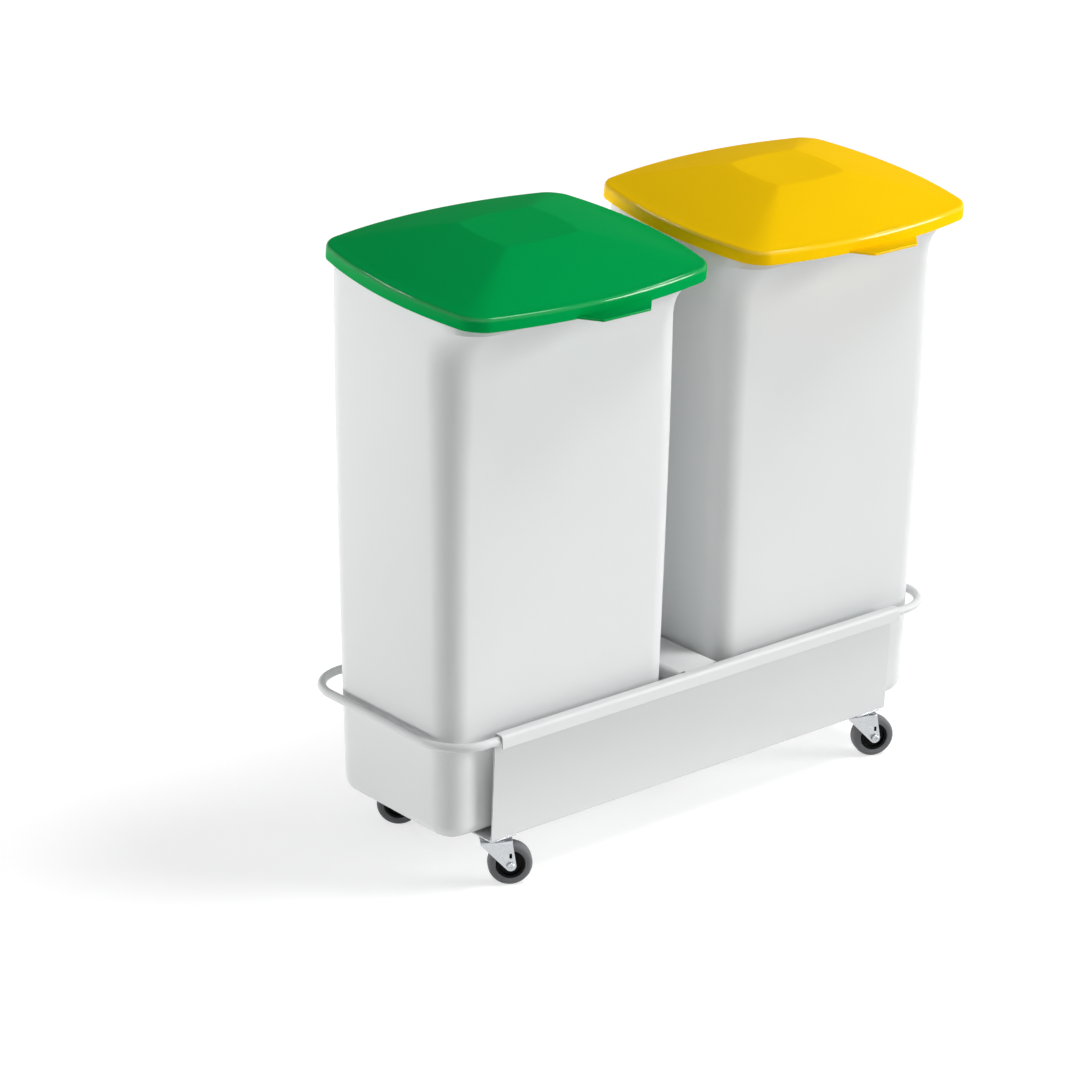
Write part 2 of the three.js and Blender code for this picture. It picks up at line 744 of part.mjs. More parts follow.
function hingePinGeometry() {
  const half = lugFaceOffset + lugThickness + seatGap;
  const points = [
    [0, -half - pinHeadHeight], [pinHeadRadius, -half - pinHeadHeight], [pinHeadRadius, -half],
    [pinRadius, -half], [pinRadius, half], [pinHeadRadius, half],
    [pinHeadRadius, half + pinHeadHeight], [0, half + pinHeadHeight],
  ];
  return turned(points).rotateY(Math.PI / 2).translate(0, hingeY, hingeZ);
}

// ---------------------------------------------------------------- lids

// A rectangle with rounded corners whose sides bow outwards.
function bowedOutline({ halfWidth, halfDepth, sideBow, endBow, radius }) {
  const squareWidth = halfWidth - sideBow;
  const squareDepth = halfDepth - endBow;
  const square = roundedRectangle(
    { halfWidth: squareWidth, front: squareDepth, back: squareDepth, radius },
    lidCornerSteps, lidSideSteps);
  return square.map(({ x, y }) => {
    const bowX = (sideBow / squareWidth) * (1 - (y / squareDepth) ** 2);
    const bowY = (endBow / squareDepth) * (1 - (x / squareWidth) ** 2);
    return new THREE.Vector2(x * (1 + bowX), y * (1 + bowY));
  });
}

const lidOutline = (inset) => bowedOutline({
  halfWidth: lidHalfWidth - inset,
  halfDepth: lidHalfDepth - inset,
  sideBow: lidSideBow,
  endBow: lidEndBow,
  radius: lidCornerRadius - inset,
});

const plateauOutline = () => bowedOutline({
  halfWidth: plateauHalfWidth,
  halfDepth: plateauHalfDepth,
  sideBow: plateauBow,
  endBow: plateauBow,
  radius: plateauCornerRadius,
});

// Skirt, rounded edge and crowned slopes of one skin, from the skirt's lower edge to the plateau.
function lidSkinRings(inset, edgeSteps) {
  const flat = (outline, z) => outline.map(({ x, y }) => new THREE.Vector3(x, y, z));
  const edgeRadius = lidEdgeRadius - inset;
  const slopeSteps = 4;
  const rings = [flat(lidOutline(inset), -skirtDrop)];
  for (let step = 0; step <= edgeSteps; step += 1) {
    const angle = (Math.PI / 2) * (step / edgeSteps);
    const place = inset + edgeRadius * (1 - Math.cos(angle));
    rings.push(flat(lidOutline(place), -lidEdgeRadius + edgeRadius * Math.sin(angle)));
  }
  const foot = lidOutline(lidEdgeRadius);
  const plateau = plateauOutline();
  for (let step = 1; step <= slopeSteps; step += 1) {
    const share = step / slopeSteps;
    const rise = plateauRise * (share + slopeCrown * share * (1 - share));
    rings.push(foot.map((point, i) => {
      const { x, y } = point.clone().lerp(plateau[i], share);
      return new THREE.Vector3(x, y, rise - inset);
    }));
  }
  return rings;
}

// The trapezium lip that fingers lift, at the foot of the front skirt.
function gripGeometry() {
  const root = -lidHalfDepth + 2 * lidSkin;
  const tip = -lidHalfDepth - gripReach;
  const lip = new THREE.Shape([
    new THREE.Vector2(gripOffset - gripRootWidth / 2, root),
    new THREE.Vector2(gripOffset - gripRootWidth / 2, -lidHalfDepth),
    new THREE.Vector2(gripOffset - gripTipWidth / 2, tip),
    new THREE.Vector2(gripOffset + gripTipWidth / 2, tip),
    new THREE.Vector2(gripOffset + gripRootWidth / 2, -lidHalfDepth),
    new THREE.Vector2(gripOffset + gripRootWidth / 2, root),
  ]);
  return extrudeUp(lip, gripThickness).translate(0, 0, -skirtDrop);
}

function knuckleGeometry(side) {
  const web = new THREE.Shape();
  web.moveTo(lidHalfDepth - lidEndBow / 2, hingeLidZ + knuckleRadius);
  web.lineTo(lidHalfDepth - lidEndBow / 2, hingeLidZ - hingeRise);
  web.lineTo(hingeLidY, hingeLidZ - knuckleRadius);
  web.absarc(hingeLidY, hingeLidZ, knuckleRadius, -Math.PI / 2, Math.PI / 2, false);
  return extrudeAlongX(web, knuckleWidth, 2 * bendSteps).translate(side * hingeOffset, 0, 0);
}

function lidGeometry() {
  const shell = loft([...lidSkinRings(lidSkin, 1).reverse(), ...lidSkinRings(0, 3)]);
  const pinHole = new THREE.CylinderGeometry(lugHoleRadius, lugHoleRadius, lidHalfWidth, boreSteps)
    .rotateZ(Math.PI / 2)
    .translate(0, hingeLidY, hingeLidZ);
  return cut(join(shell, gripGeometry(), knuckleGeometry(-1), knuckleGeometry(1)), pinHole);
}

// ---------------------------------------------------------------- assembly

function liddedTub(place, side, lidMaterial) {
  const group = new THREE.Group();
  group.position.x = (side * tubPitch) / 2;
  const lid = piece(`lid_${place}`, lidGeometry(), lidMaterial);
  lid.position.set(0, lidCentreY, lidHeight);
  lid.rotation.x = lidTilt;
  group.add(piece(`tub_${place}`, tubGeometry(), tubPlastic), lid);
  [-1, 1].forEach((end, i) => {
    const pin = piece(`hinge_pin_${place}_${i + 1}`, hingePinGeometry(), zinc);
    pin.position.x = end * hingeOffset;
    group.add(pin);
  });
  return group;
}

const trolley = new THREE.Group();
const rearPanel = piece('rear_panel', panelGeometry(), powderCoat);
const frontPanel = piece('front_panel', panelGeometry(), powderCoat);
frontPanel.rotation.z = Math.PI;
trolley.add(
  piece('ring', ringGeometry(), powderCoat),
  frontPanel,
  rearPanel,
  piece('centre_bridge', bridgeGeometry(), powderCoat),
  castor('front_left', -1, -1),
  castor('front_right', 1, -1),
  castor('rear_left', -1, 1),
  castor('rear_right', 1, 1),
);

const bin = new THREE.Group();
bin.add(trolley, liddedTub('green', -1, greenPlastic), liddedTub('yellow', 1, yellowPlastic));

// The origin lies on the floor in the middle of the outline, from grip lips to rear hook.
const gripTipY = lidCentreY - (lidHalfDepth + gripReach) * Math.cos(lidTilt)
  + (skirtDrop - gripThickness) * Math.sin(lidTilt);
bin.position.y = -(gripTipY + panelHookOuterY) / 2;

export default bin;
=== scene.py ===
# %% [markdown]
# # A double recycling bin
#
# Two tall white tubs with coloured lids stand in a low trolley of bent rod and folded sheet.
# The CAD model fixes where every piece is and how it moves. This script gives each piece the
# finer shape and the finish that the eye expects: moulded plastic, powder coat, zinc and rubber.

# %% Load the frame
import math

import bmesh
import bpy
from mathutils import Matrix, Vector


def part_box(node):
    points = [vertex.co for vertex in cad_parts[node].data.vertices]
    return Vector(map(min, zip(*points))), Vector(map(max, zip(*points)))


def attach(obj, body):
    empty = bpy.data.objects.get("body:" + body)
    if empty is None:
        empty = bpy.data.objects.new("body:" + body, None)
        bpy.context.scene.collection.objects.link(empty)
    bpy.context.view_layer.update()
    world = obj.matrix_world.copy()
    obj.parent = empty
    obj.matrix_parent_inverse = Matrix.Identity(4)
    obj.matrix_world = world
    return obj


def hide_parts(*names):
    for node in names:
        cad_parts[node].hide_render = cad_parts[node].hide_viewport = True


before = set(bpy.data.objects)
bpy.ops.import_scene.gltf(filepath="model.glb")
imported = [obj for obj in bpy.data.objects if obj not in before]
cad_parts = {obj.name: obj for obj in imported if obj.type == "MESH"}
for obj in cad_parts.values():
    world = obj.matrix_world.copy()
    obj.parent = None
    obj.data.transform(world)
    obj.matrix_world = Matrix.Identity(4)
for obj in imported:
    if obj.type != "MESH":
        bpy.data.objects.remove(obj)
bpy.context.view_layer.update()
scene = bpy.context.scene
print("CAD nodes:", len(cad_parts))

# %% [markdown]
# ## The camera
#
# The picture was taken with a long lens from the left and a little above, so lines that run
# away from the viewer stay nearly parallel. A lens of about 120 mm stands some four metres off.
# The camera looks straight at one point, with no lens shift.

# %% Place the camera
MM = 0.001

camera_azimuth = math.radians(-39.0)
camera_height_angle = math.radians(20.65)
camera_distance = 4097 * MM
aim_point = Vector((-164.2, -5.6, 361.6)) * MM
sensor_width = 36.0
picture_width = 1080
focal_length_in_pixels = 3700


def direction(azimuth, height_angle):
    """A unit vector that leads away from the bin. Azimuth 0 is straight in front of it."""
    return Vector((math.sin(azimuth) * math.cos(height_angle),
                   -math.cos(azimuth) * math.cos(height_angle),
                   math.sin(height_angle)))


def add_object(name, data):
    """Puts a mesh, a lamp or a camera into the scene."""
    result = bpy.data.objects.new(name, data)
    scene.collection.objects.link(result)
    return result


camera_data = bpy.data.cameras.new("camera")
camera_data.sensor_width = sensor_width
camera_data.lens = sensor_width * focal_length_in_pixels / picture_width
camera = add_object("camera", camera_data)
scene.camera = camera

towards_camera = direction(camera_azimuth, camera_height_angle)
camera.location = aim_point + towards_camera * camera_distance
camera.rotation_euler = (-towards_camera).to_track_quat("-Z", "Y").to_euler()
print("lens:", round(camera_data.lens, 1), "mm at", round(camera.location.length, 2), "m")

# %% [markdown]
# ## Writing shaders as sums
#
# A material is a graph of small nodes. Wiring sums by hand takes many lines, so one class wraps
# a node's output and lets Python's own operators add the Math nodes. A second class makes every
# other kind of node with one method: settings first, then what goes into its sockets.

# %% A socket that can be used in a sum
class Wire:
    """A node's output. Operators on it add Math nodes."""

    def __init__(self, tree, socket):
        self.tree = tree
        self.socket = socket

    def math(self, operation, first, second):
        node = self.tree.nodes.new("ShaderNodeMath")
        node.operation = operation
        for socket, value in zip(node.inputs, (first, second)):
            feed(self.tree, socket, value)
        return Wire(self.tree, node.outputs[0])

    def __add__(self, other):
        return self.math("ADD", self, other)

    def __sub__(self, other):
        return self.math("SUBTRACT", self, other)

    def __mul__(self, other):
        return self.math("MULTIPLY", self, other)

    def __rsub__(self, other):
        return self.math("SUBTRACT", other, self)

    __radd__ = __add__
    __rmul__ = __mul__


def feed(tree, socket, value):
    """Links a wire to a socket, or sets a plain value on it."""
    if isinstance(value, Wire):
        tree.links.new(value.socket, socket)
    else:
        socket.default_value = value


class Graph:
    """A node tree with one method for every node that isn't a sum."""

    def __init__(self, owner):
        owner.use_nodes = True
        self.tree = owner.node_tree
        self.tree.nodes.clear()

    def node(self, kind, settings=None, sockets=None, output=0):
        node = self.tree.nodes.new("ShaderNode" + kind)
        for name, value in (settings or {}).items():
            setattr(node, name, value)
        for name, value in (sockets or {}).items():
            feed(self.tree, node.inputs[name], value)
        return Wire(self.tree, node.outputs[output]) if node.outputs else None

    def mix(self, amount, first, second):
        """A colour between two others. A Mix node's colour sockets are 6, 7 and, going out, 2."""
        return self.node("Mix", {"data_type": "RGBA"}, {0: amount, 6: first, 7: second}, 2)


print("shader helpers ready")

# %% [markdown]
# ## Finishes
#
# Every finish shares a pattern: noise of about a hand's size shifts the tone and the gloss by a
# few percent, and much finer noise tilts the surface a little, as moulding and coating leave
# it. The scale is in real metres, because object coordinates are. The lids have a clear coat,
# almost only where they turn from top to skirt: wide flat gloss would wash out their colour.

# %% Colours and patterns
def colour(red, green, blue):
    """A screen colour in 0 to 255 as the linear light that shaders work with."""
    linear = []
    for value in (red, green, blue):
        share = value / 255
        linear.append(share / 12.92 if share <= 0.04045 else ((share + 0.055) / 1.055) ** 2.4)
    return (*linear, 1.0)


def noise(graph, size, detail):
    """Noise from 0 to 1 whose patches are about size millimetres across."""
    place = graph.node("TexCoord", output="Object")
    return graph.node("TexNoise", {}, {"Vector": place, "Scale": 1 / (size * MM), "Detail": detail})


coat_begins = 0.88
coat_gain = 5.2


def round_edges(graph):
    """Up to about 1 where a lid turns from its top to its skirt, and 0 on its flat parts.

    The upward part of the normal is near 1 on the top and 0 on the skirt, and in between it
    passes through coat_begins.
    """
    normal = graph.node("TexCoord", output="Normal")
    upward = graph.node("SeparateXYZ", {}, {0: normal}, output="Z")
    hump = upward * (coat_begins - upward) * coat_gain
    return graph.node("Math", {"operation": "MAXIMUM"}, {0: hump, 1: 0.0})


print("a mid grey of 128 in linear light:", round(colour(128, 128, 128)[0], 3))

# %% One finish for moulded and coated surfaces
patch_share = 0.7
patch_detail = 2.0
grain_detail = 3.0
coat_on_flats = 0.02
coat_roughness = 0.06


def surface(name, slot, base, gloss, tone, shine=0.5, edge_coat=0.0, metal=0.0,
            gloss_change=0.06, patch=90.0, grain=1.2, grain_depth=0.02):
    """A material and the slot that its pieces are named for.

    gloss is the roughness, and gloss_change how far the noise shifts it. tone is the share by
    which the noise darkens the colour on average, and shine the strength of the mirror light.
    patch, grain and grain_depth are in millimetres.
    """
    material = bpy.data.materials.new(name)
    graph = Graph(material)
    patches = noise(graph, patch, patch_detail)
    speckle = noise(graph, grain, grain_detail)
    darker = tuple(value * (1 - 2 * tone) for value in base[:3]) + (1.0,)
    blend = patches * patch_share + speckle * (1 - patch_share)
    normal = graph.node("Bump", {}, {
        "Strength": 1.0, "Distance": grain_depth * MM, "Height": speckle})
    shader = graph.node("BsdfPrincipled", {}, {
        "Base Color": graph.mix(blend, darker, base),
        "Roughness": (patches - 0.5) * gloss_change + (speckle - 0.5) * gloss_change + gloss,
        "Metallic": metal,
        "Specular IOR Level": shine,
        "Coat Weight": round_edges(graph) * edge_coat + coat_on_flats if edge_coat else 0.0,
        "Coat Roughness": coat_roughness,
        "Normal": normal})
    graph.node("OutputMaterial", {}, {"Surface": shader})
    return material, slot


tub_plastic = surface("tub_plastic", "tub_plastic", colour(216, 218, 218), gloss=0.42,
                      tone=0.012, shine=0.4, grain=0.9)
green_plastic = surface("green_plastic", "green_lid", colour(0, 155, 74), gloss=0.3,
                        tone=0.03, shine=0.0, edge_coat=0.7)
yellow_plastic = surface("yellow_plastic", "yellow_lid", colour(255, 205, 8), gloss=0.3,
                         tone=0.02, shine=0.0, edge_coat=0.7)
powder_coat = surface("powder_coat", "powder_coat", colour(211, 213, 213), gloss=0.38,
                      tone=0.01, shine=0.3, grain=0.7, grain_depth=0.03)
zinc = surface("zinc", "zinc", colour(205, 208, 211), gloss=0.27, tone=0.08,
               metal=1.0, gloss_change=0.2, patch=12.0, grain=2.5)
tyre_rubber = surface("tyre_rubber", "tyre", colour(106, 107, 109), gloss=0.62,
                      tone=0.06, shine=0.3, grain=0.5, grain_depth=0.05)
core_plastic = surface("core_plastic", "wheel_core", colour(12, 12, 13), gloss=0.4, tone=0.1,
                       shine=0.08)
print("finishes:", len(bpy.data.materials))

# %% [markdown]
# ## Outlines and solids
#
# Nearly every piece here is made in one of three ways: a skin through a stack of rings (tubs and
# lids), a flat outline pushed through a thickness (sheet parts), or a profile turned about an
# axis (wheels and pins). All are drawn in millimetres in the frame's own axes.

# %% Outlines
def rectangle(half_width, front, back):
    """The corners of a rectangle, anticlockwise from the front right."""
    return [(half_width, -front), (half_width, back), (-half_width, back), (-half_width, -front)]


def arc(centre, radius, start, end, steps=16):
    """Points along an arc from one angle to another, both ends included."""
    angles = [start + (end - start) * step / steps for step in range(steps + 1)]
    return [centre + radius * Vector((math.cos(angle), math.sin(angle))) for angle in angles]


def rounded(corners, radii, closed=True, steps=5):
    """A polyline with its corners replaced by arcs. radii is one number or one for each corner."""
    count = len(corners)
    points = [Vector(corner).to_2d() for corner in corners]
    if not hasattr(radii, "__len__"):
        radii = [radii] * count
    result = []
    for i, (point, radius) in enumerate(zip(points, radii)):
        if (not closed and i in (0, count - 1)) or radius <= 0:
            result.append(point)
            continue
        before = (points[i - 1] - point).normalized()
        after = (points[(i + 1) % count] - point).normalized()
        half_angle = math.acos(max(-1.0, min(1.0, before.dot(after)))) / 2
        setback = radius / math.tan(half_angle)
        centre = point + (before + after).normalized() * (radius / math.sin(half_angle))
        start = point + before * setback - centre
        end = point + after * setback - centre
        turn = math.atan2(start.x * end.y - start.y * end.x, start.dot(end))
        for step in range(steps + 1):
            angle = turn * step / steps
            result.append(centre + Vector((
                start.x * math.cos(angle) - start.y * math.sin(angle),
                start.x * math.sin(angle) + start.y * math.cos(angle))))
    return result


def thickened(line, thickness):
    """A closed outline that follows an open line at half the thickness on both sides."""
    sides = ([], [])
    for i, point in enumerate(line):
        along = line[min(i + 1, len(line) - 1)] - line[max(i - 1, 0)]
        across = Vector((-along.y, along.x)).normalized() * thickness / 2
        sides[0].append(point + across)
        sides[1].append(point - across)
    return sides[0] + sides[1][::-1]


print("points round a square with round corners:", len(rounded(rectangle(1, 1, 1), 0.2)))

# %% Solids from rings, outlines and profiles
def loft(rings, closed=False):
    """A solid through rings of equal counts. A closed one joins its last ring to its first."""
    solid = bmesh.new()
    rows = [[solid.verts.new(point) for point in ring] for ring in rings]
    count = len(rings[0])
    above = rows[1:] + rows[:1] if closed else rows[1:]
    for low, high in zip(rows, above):
        for i in range(count):
            j = (i + 1) % count
            solid.faces.new((low[i], low[j], high[j], high[i]))
    if not closed:
        solid.faces.new(rows[0][::-1])
        solid.faces.new(rows[-1])
    bmesh.ops.recalc_face_normals(solid, faces=solid.faces)
    return solid


def pushed(outline, thickness, where):
    """A flat outline pushed through a thickness. where turns (across, up, through) into a place."""
    half = thickness / 2
    return loft([[where(point.x, point.y, depth) for point in outline] for depth in (-half, half)])


def slab(size, where):
    """A box about the middle of where's axes, for cutting."""
    outline = [Vector(corner) for corner in rectangle(size.x / 2, size.y / 2, size.y / 2)]
    return pushed(outline, size.z, where)


def turned(profile, where, steps=48):
    """A profile of (radius, height) points turned about an axis. where places (x, y, height)."""
    angles = [step * math.tau / steps for step in range(steps)]
    rings = [[where(radius * math.cos(angle), radius * math.sin(angle), height)
              for angle in angles] for radius, height in profile]
    hollow = Vector(profile[0]).to_2d() == Vector(profile[-1]).to_2d()
    return loft(rings[:-1], closed=True) if hollow else loft(rings)


def soft_profile(points, radii):
    """A closed turning profile with its corners rounded."""
    line = rounded(points, radii, steps=4)
    return line + line[:1]


def solid_profile(points, radii):
    """A turning profile whose ends lie near the axis, with some corners rounded."""
    return rounded(points, radii, closed=False, steps=4)


print("solid makers ready")

# %% From solid to named piece
def to_object(name, solid):
    """Moves a solid in millimetres into an object in metres."""
    mesh = bpy.data.meshes.new(name)
    bmesh.ops.scale(solid, vec=(MM, MM, MM), verts=solid.verts)
    solid.to_mesh(mesh)
    solid.free()
    return add_object(name, mesh)


def bake_modifiers(piece):
    """Replaces a piece's mesh by what its modifiers make of it."""
    bpy.context.view_layer.update()
    graph = bpy.context.evaluated_depsgraph_get()
    mesh = bpy.data.meshes.new_from_object(piece.evaluated_get(graph))
    piece.modifiers.clear()
    piece.data = mesh


def carve(piece, tool, operation="DIFFERENCE"):
    """Cuts one solid with another and throws the tool away."""
    cutter = to_object("cutter", tool)
    modifier = piece.modifiers.new("carve", "BOOLEAN")
    modifier.operation = operation
    modifier.solver = "EXACT"
    modifier.object = cutter
    bake_modifiers(piece)
    bpy.data.objects.remove(cutter)


def soften_edges(piece, width, sharp):
    modifier = piece.modifiers.new("edges", "BEVEL")
    modifier.width = width * MM
    modifier.segments = 2
    modifier.limit_method = "ANGLE"
    modifier.angle_limit = sharp
    modifier.harden_normals = True
    bake_modifiers(piece)


def finish_piece(piece, finish, body, nodes=(), edge=0.0, sharp=math.radians(35)):
    """Softens edges, smooths faces and hangs the piece on its body."""
    if edge:
        soften_edges(piece, edge, sharp)
    material, slot = finish
    mesh = piece.data
    mesh.shade_smooth()
    mesh.set_sharp_from_angle(angle=sharp)
    mesh.materials.clear()
    mesh.materials.append(material)
    if nodes:
        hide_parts(*nodes)
    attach(piece, body)


print("piece helpers ready")

# %% Where the CAD nodes are
def box_in_mm(node):
    """The low and the high corner of a CAD node's box, in millimetres."""
    low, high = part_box(node)
    return Vector(low) / MM, Vector(high) / MM


def middle(node):
    """The centre of a CAD node's box, in millimetres."""
    low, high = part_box(node)
    return (Vector(low) + Vector(high)) / 2 / MM


def upright(centre):
    """Places (x, y, height) about an upright line through a centre."""
    return lambda x, y, height: Vector((centre.x + x, centre.y + y, height))


def lying(centre):
    """Places a profile turned about a line along X through a centre."""
    return lambda y, z, along: Vector((centre.x + along, centre.y + y, centre.z + z))


trolley_y = middle("ring").y
print("trolley's centre line at y =", round(trolley_y, 1), "mm")

# %% [markdown]
# ## The ring
#
# One length of round rod is bent into a loop and butt welded. A ring of circles that follows a
# rounded rectangle gives it, with plenty of steps in the bends, where the outline shows most.

# %% Bend the rod
ring_low, ring_high = box_in_mm("ring")
rod_radius = (ring_high.z - ring_low.z) / 2
bend_radius = 50
bend_steps = 18
rod_steps = 24


def rod_loop():
    centre = (ring_low + ring_high) / 2
    half = (ring_high - ring_low) / 2 - Vector((rod_radius, rod_radius, 0))
    path = rounded(rectangle(half.x, half.y, half.y), bend_radius, steps=bend_steps)
    section = arc(Vector((0, 0)), rod_radius, 0, math.tau, rod_steps)[:-1]
    rings = []
    for i, point in enumerate(path):
        along = (path[(i + 1) % len(path)] - path[i - 1]).normalized()
        side = Vector((along.y, -along.x))
        rings.append([centre + (point + side * spot.x).to_3d() + Vector((0, 0, spot.y))
                      for spot in section])
    return loft(rings, closed=True)


ring = to_object("rod_ring", rod_loop())
finish_piece(ring, powder_coat, "trolley", ["ring"])
print("ring:", len(ring.data.polygons), "faces")

# %% [markdown]
# ## Panels and bridge
#
# Each panel is one sheet: a lip hooks over the rod, the main sheet leans in behind it, and a
# flange at the foot carries the tubs. The section is drawn as the sheet's middle line, given
# its bends, thickened, and pushed along the trolley.

# %% Fold the panels
sheet = 2.0
sheet_bend = 3.0
hook_drop = 15.5
hook_gap = 0.3
panel_lean = 8.0
panel_edge = 0.35
panel_low, panel_high = box_in_mm("rear_panel")


def panel(side):
    """One panel's solid. side is 1 for the rear one and -1 for the front one."""
    outer = panel_high.y - trolley_y - sheet / 2
    inner = outer - 2 * (rod_radius + hook_gap + sheet / 2)
    foot = inner - panel_lean
    top = panel_high.z - sheet / 2
    bottom = panel_low.z + sheet / 2
    line = rounded([
        (outer, panel_high.z - hook_drop), (outer, top), (inner, top),
        (foot, bottom), (panel_low.y - trolley_y, bottom),
    ], sheet_bend, closed=False)
    return pushed(thickened(line, sheet), panel_high.x - panel_low.x,
                  lambda y, z, x: Vector((x, trolley_y + side * y, z)))


for name, side in (("rear_panel", 1), ("front_panel", -1)):
    piece = to_object(name + "_sheet", panel(side))
    finish_piece(piece, powder_coat, "trolley", [name], panel_edge)
    print(name, "has", len(piece.data.polygons), "faces")

# %% Fold the bridge
bridge_low, bridge_high = box_in_mm("centre_bridge")
bridge_edge = 0.3
notch_size = Vector((14.0, 9.0, 10.0))


def bridge():
    left = bridge_low.x + sheet / 2
    right = bridge_high.x - sheet / 2
    top = bridge_high.z - sheet / 2
    line = rounded([(left, bridge_low.z), (left, top), (right, top), (right, bridge_low.z)],
                   sheet_bend, closed=False)
    return pushed(thickened(line, sheet), bridge_high.y - bridge_low.y,
                  lambda x, z, y: Vector((x, trolley_y + y, z)))


piece = to_object("bridge_sheet", bridge())
for x in (bridge_low.x, bridge_high.x):
    for y in (bridge_low.y, bridge_high.y):
        corner = Vector((x, y, bridge_high.z))
        carve(piece, slab(notch_size, lambda a, b, c: corner + Vector((a, b, c))))
finish_piece(piece, powder_coat, "trolley", ["centre_bridge"], bridge_edge)
print("bridge:", len(piece.data.polygons), "faces")

# %% [markdown]
# ## The tubs
#
# A tub is a tall box with round corners that widens a little from its foot to its mouth. Only
# the front sweeps out under the rim, in a round cove. Its wall is a stack of rings that are
# level at the foot and tilt with the lid at the top, first up the outside and then down the
# inside.

# %% Sizes of a tub
tub_wall = 3.0
tub_base_half = 157.0
tub_top_half = 166.0
tub_base_front = 110.0
tub_top_front = 131.0
tub_back = 97.0
tub_base_corner = 30.0
tub_top_corner = 44.0
tub_base_edge = 20.0
foot_inset = 26.0
foot_width = 6.0
foot_height = 4.0
cove_radius = 55.0
cove_turn = math.radians(60)
rim_band = 25.0
rim_round = 1.2

lid_height = 698.0
lid_tilt = math.radians(5.5)
lid_centre_y = -38.5
rim_drop = 3.6
rim_height = lid_height - rim_drop / math.cos(lid_tilt)
tub_foot = box_in_mm("tub_green")[0].z
tub_floor = tub_foot + foot_height
print("tub from", round(tub_foot, 1), "to", round(rim_height, 1), "mm")

# %% [markdown]
# The corners hardly grow at first and then faster and faster, as the fourth power of the height.
# Heights below the tub's floor belong to the foot rim, which keeps the smallest corner.

# %% Wall rings of a tub
tiny_radius = 0.1
corner_growth_power = 4
tub_corner_steps = 14
tub_side_steps = 6
round_steps = 8
cove_steps = 12
wall_steps = 9
last_level_step = 4


def side_points(half_width, front, back, radius, corner_steps, side_steps):
    """A rounded rectangle with steps along its sides too, anticlockwise from the front right."""
    arcs = rounded(rectangle(half_width, front, back), max(radius, tiny_radius), steps=corner_steps)
    points = []
    for start in range(0, len(arcs), corner_steps + 1):
        corner = arcs[start:start + corner_steps + 1]
        following = arcs[(start + corner_steps + 1) % len(arcs)]
        points += corner
        points += [corner[-1].lerp(following, k / side_steps) for k in range(1, side_steps)]
    return points


def tub_ring(centre_x, inset, height, tilt=0.0, flare=0.0):
    """One ring of a tub. tilt is 0 for a level ring and 1 for one that lies as the lid does."""
    share = (height - tub_floor) / (rim_height - tub_floor)

    def between(base, top):
        return base + (top - base) * share

    growth = (tub_top_corner - tub_base_corner) * max(share, 0.0) ** corner_growth_power
    outline = side_points(
        between(tub_base_half, tub_top_half) - inset,
        between(tub_base_front, tub_top_front) + flare - inset,
        tub_back - inset, tub_base_corner + growth - inset, tub_corner_steps, tub_side_steps)
    rise = tilt * math.tan(lid_tilt)
    return [Vector((centre_x + p.x, trolley_y + p.y, height + rise * (p.y - lid_centre_y)))
            for p in outline]


def lower_rings(centre_x, inset, floor):
    """The round edge between the floor and the walls."""
    rings = []
    radius = tub_base_edge - inset
    for step in range(round_steps + 1):
        angle = math.pi / 2 * step / round_steps
        rings.append(tub_ring(centre_x, inset + radius * (1 - math.sin(angle)),
                              floor + radius * (1 - math.cos(angle))))
    return rings


def upper_rings(centre_x, inset):
    """From the straight wall to the top of the cove, and how far the cove leads out."""
    rings = []
    wall_foot = tub_floor + tub_base_edge
    cove_foot = rim_height - rim_band - cove_radius * math.sin(cove_turn)
    for step in range(1, wall_steps):
        height = wall_foot + (cove_foot - wall_foot) * step / wall_steps
        tilt = max(0.0, (step - last_level_step) / (wall_steps - last_level_step))
        rings.append(tub_ring(centre_x, inset, height, tilt))
    for step in range(cove_steps + 1):
        angle = cove_turn * step / cove_steps
        flare = cove_radius * (1 - math.cos(angle))
        height = cove_foot + cove_radius * math.sin(angle)
        rings.append(tub_ring(centre_x, inset, height, 1.0, flare))
    return rings, flare


print("rings in each wall:", len(upper_rings(0.0, 0.0)[0]))

# %% A whole tub
def foot_rings(centre_x):
    """A low rim under the floor, from its inner side round to its outer side."""
    inner = foot_inset + foot_width
    return [tub_ring(centre_x, inset, height) for inset, height in (
        (inner, tub_floor), (inner, tub_foot), (foot_inset, tub_foot), (foot_inset, tub_floor))]


def rim_rings(centre_x, flare):
    """The rounded top of the wall, from its outer face to its inner one."""
    rings = []
    for step in range(round_steps + 1):
        angle = math.pi * step / round_steps
        inset = tub_wall / 2 * (1 - math.cos(angle))
        height = rim_height - rim_round * (1 - math.sin(angle))
        rings.append(tub_ring(centre_x, inset, height, 1.0, flare))
    return rings


def tub(centre_x):
    outer_walls, flare = upper_rings(centre_x, 0.0)
    inner_walls, _ = upper_rings(centre_x, tub_wall)
    outside = foot_rings(centre_x) + lower_rings(centre_x, 0.0, tub_floor) + outer_walls
    inside = lower_rings(centre_x, tub_wall, tub_floor + tub_wall) + inner_walls
    return loft(outside + rim_rings(centre_x, flare) + inside[::-1])


print("rings in a foot:", len(foot_rings(0.0)))

# %% [markdown]
# Each tub carries two pairs of lugs at the back, with a loose pin through each pair. A lug is
# flat, so its outline pushed through its thickness is enough, and the pin's hole is cut after.

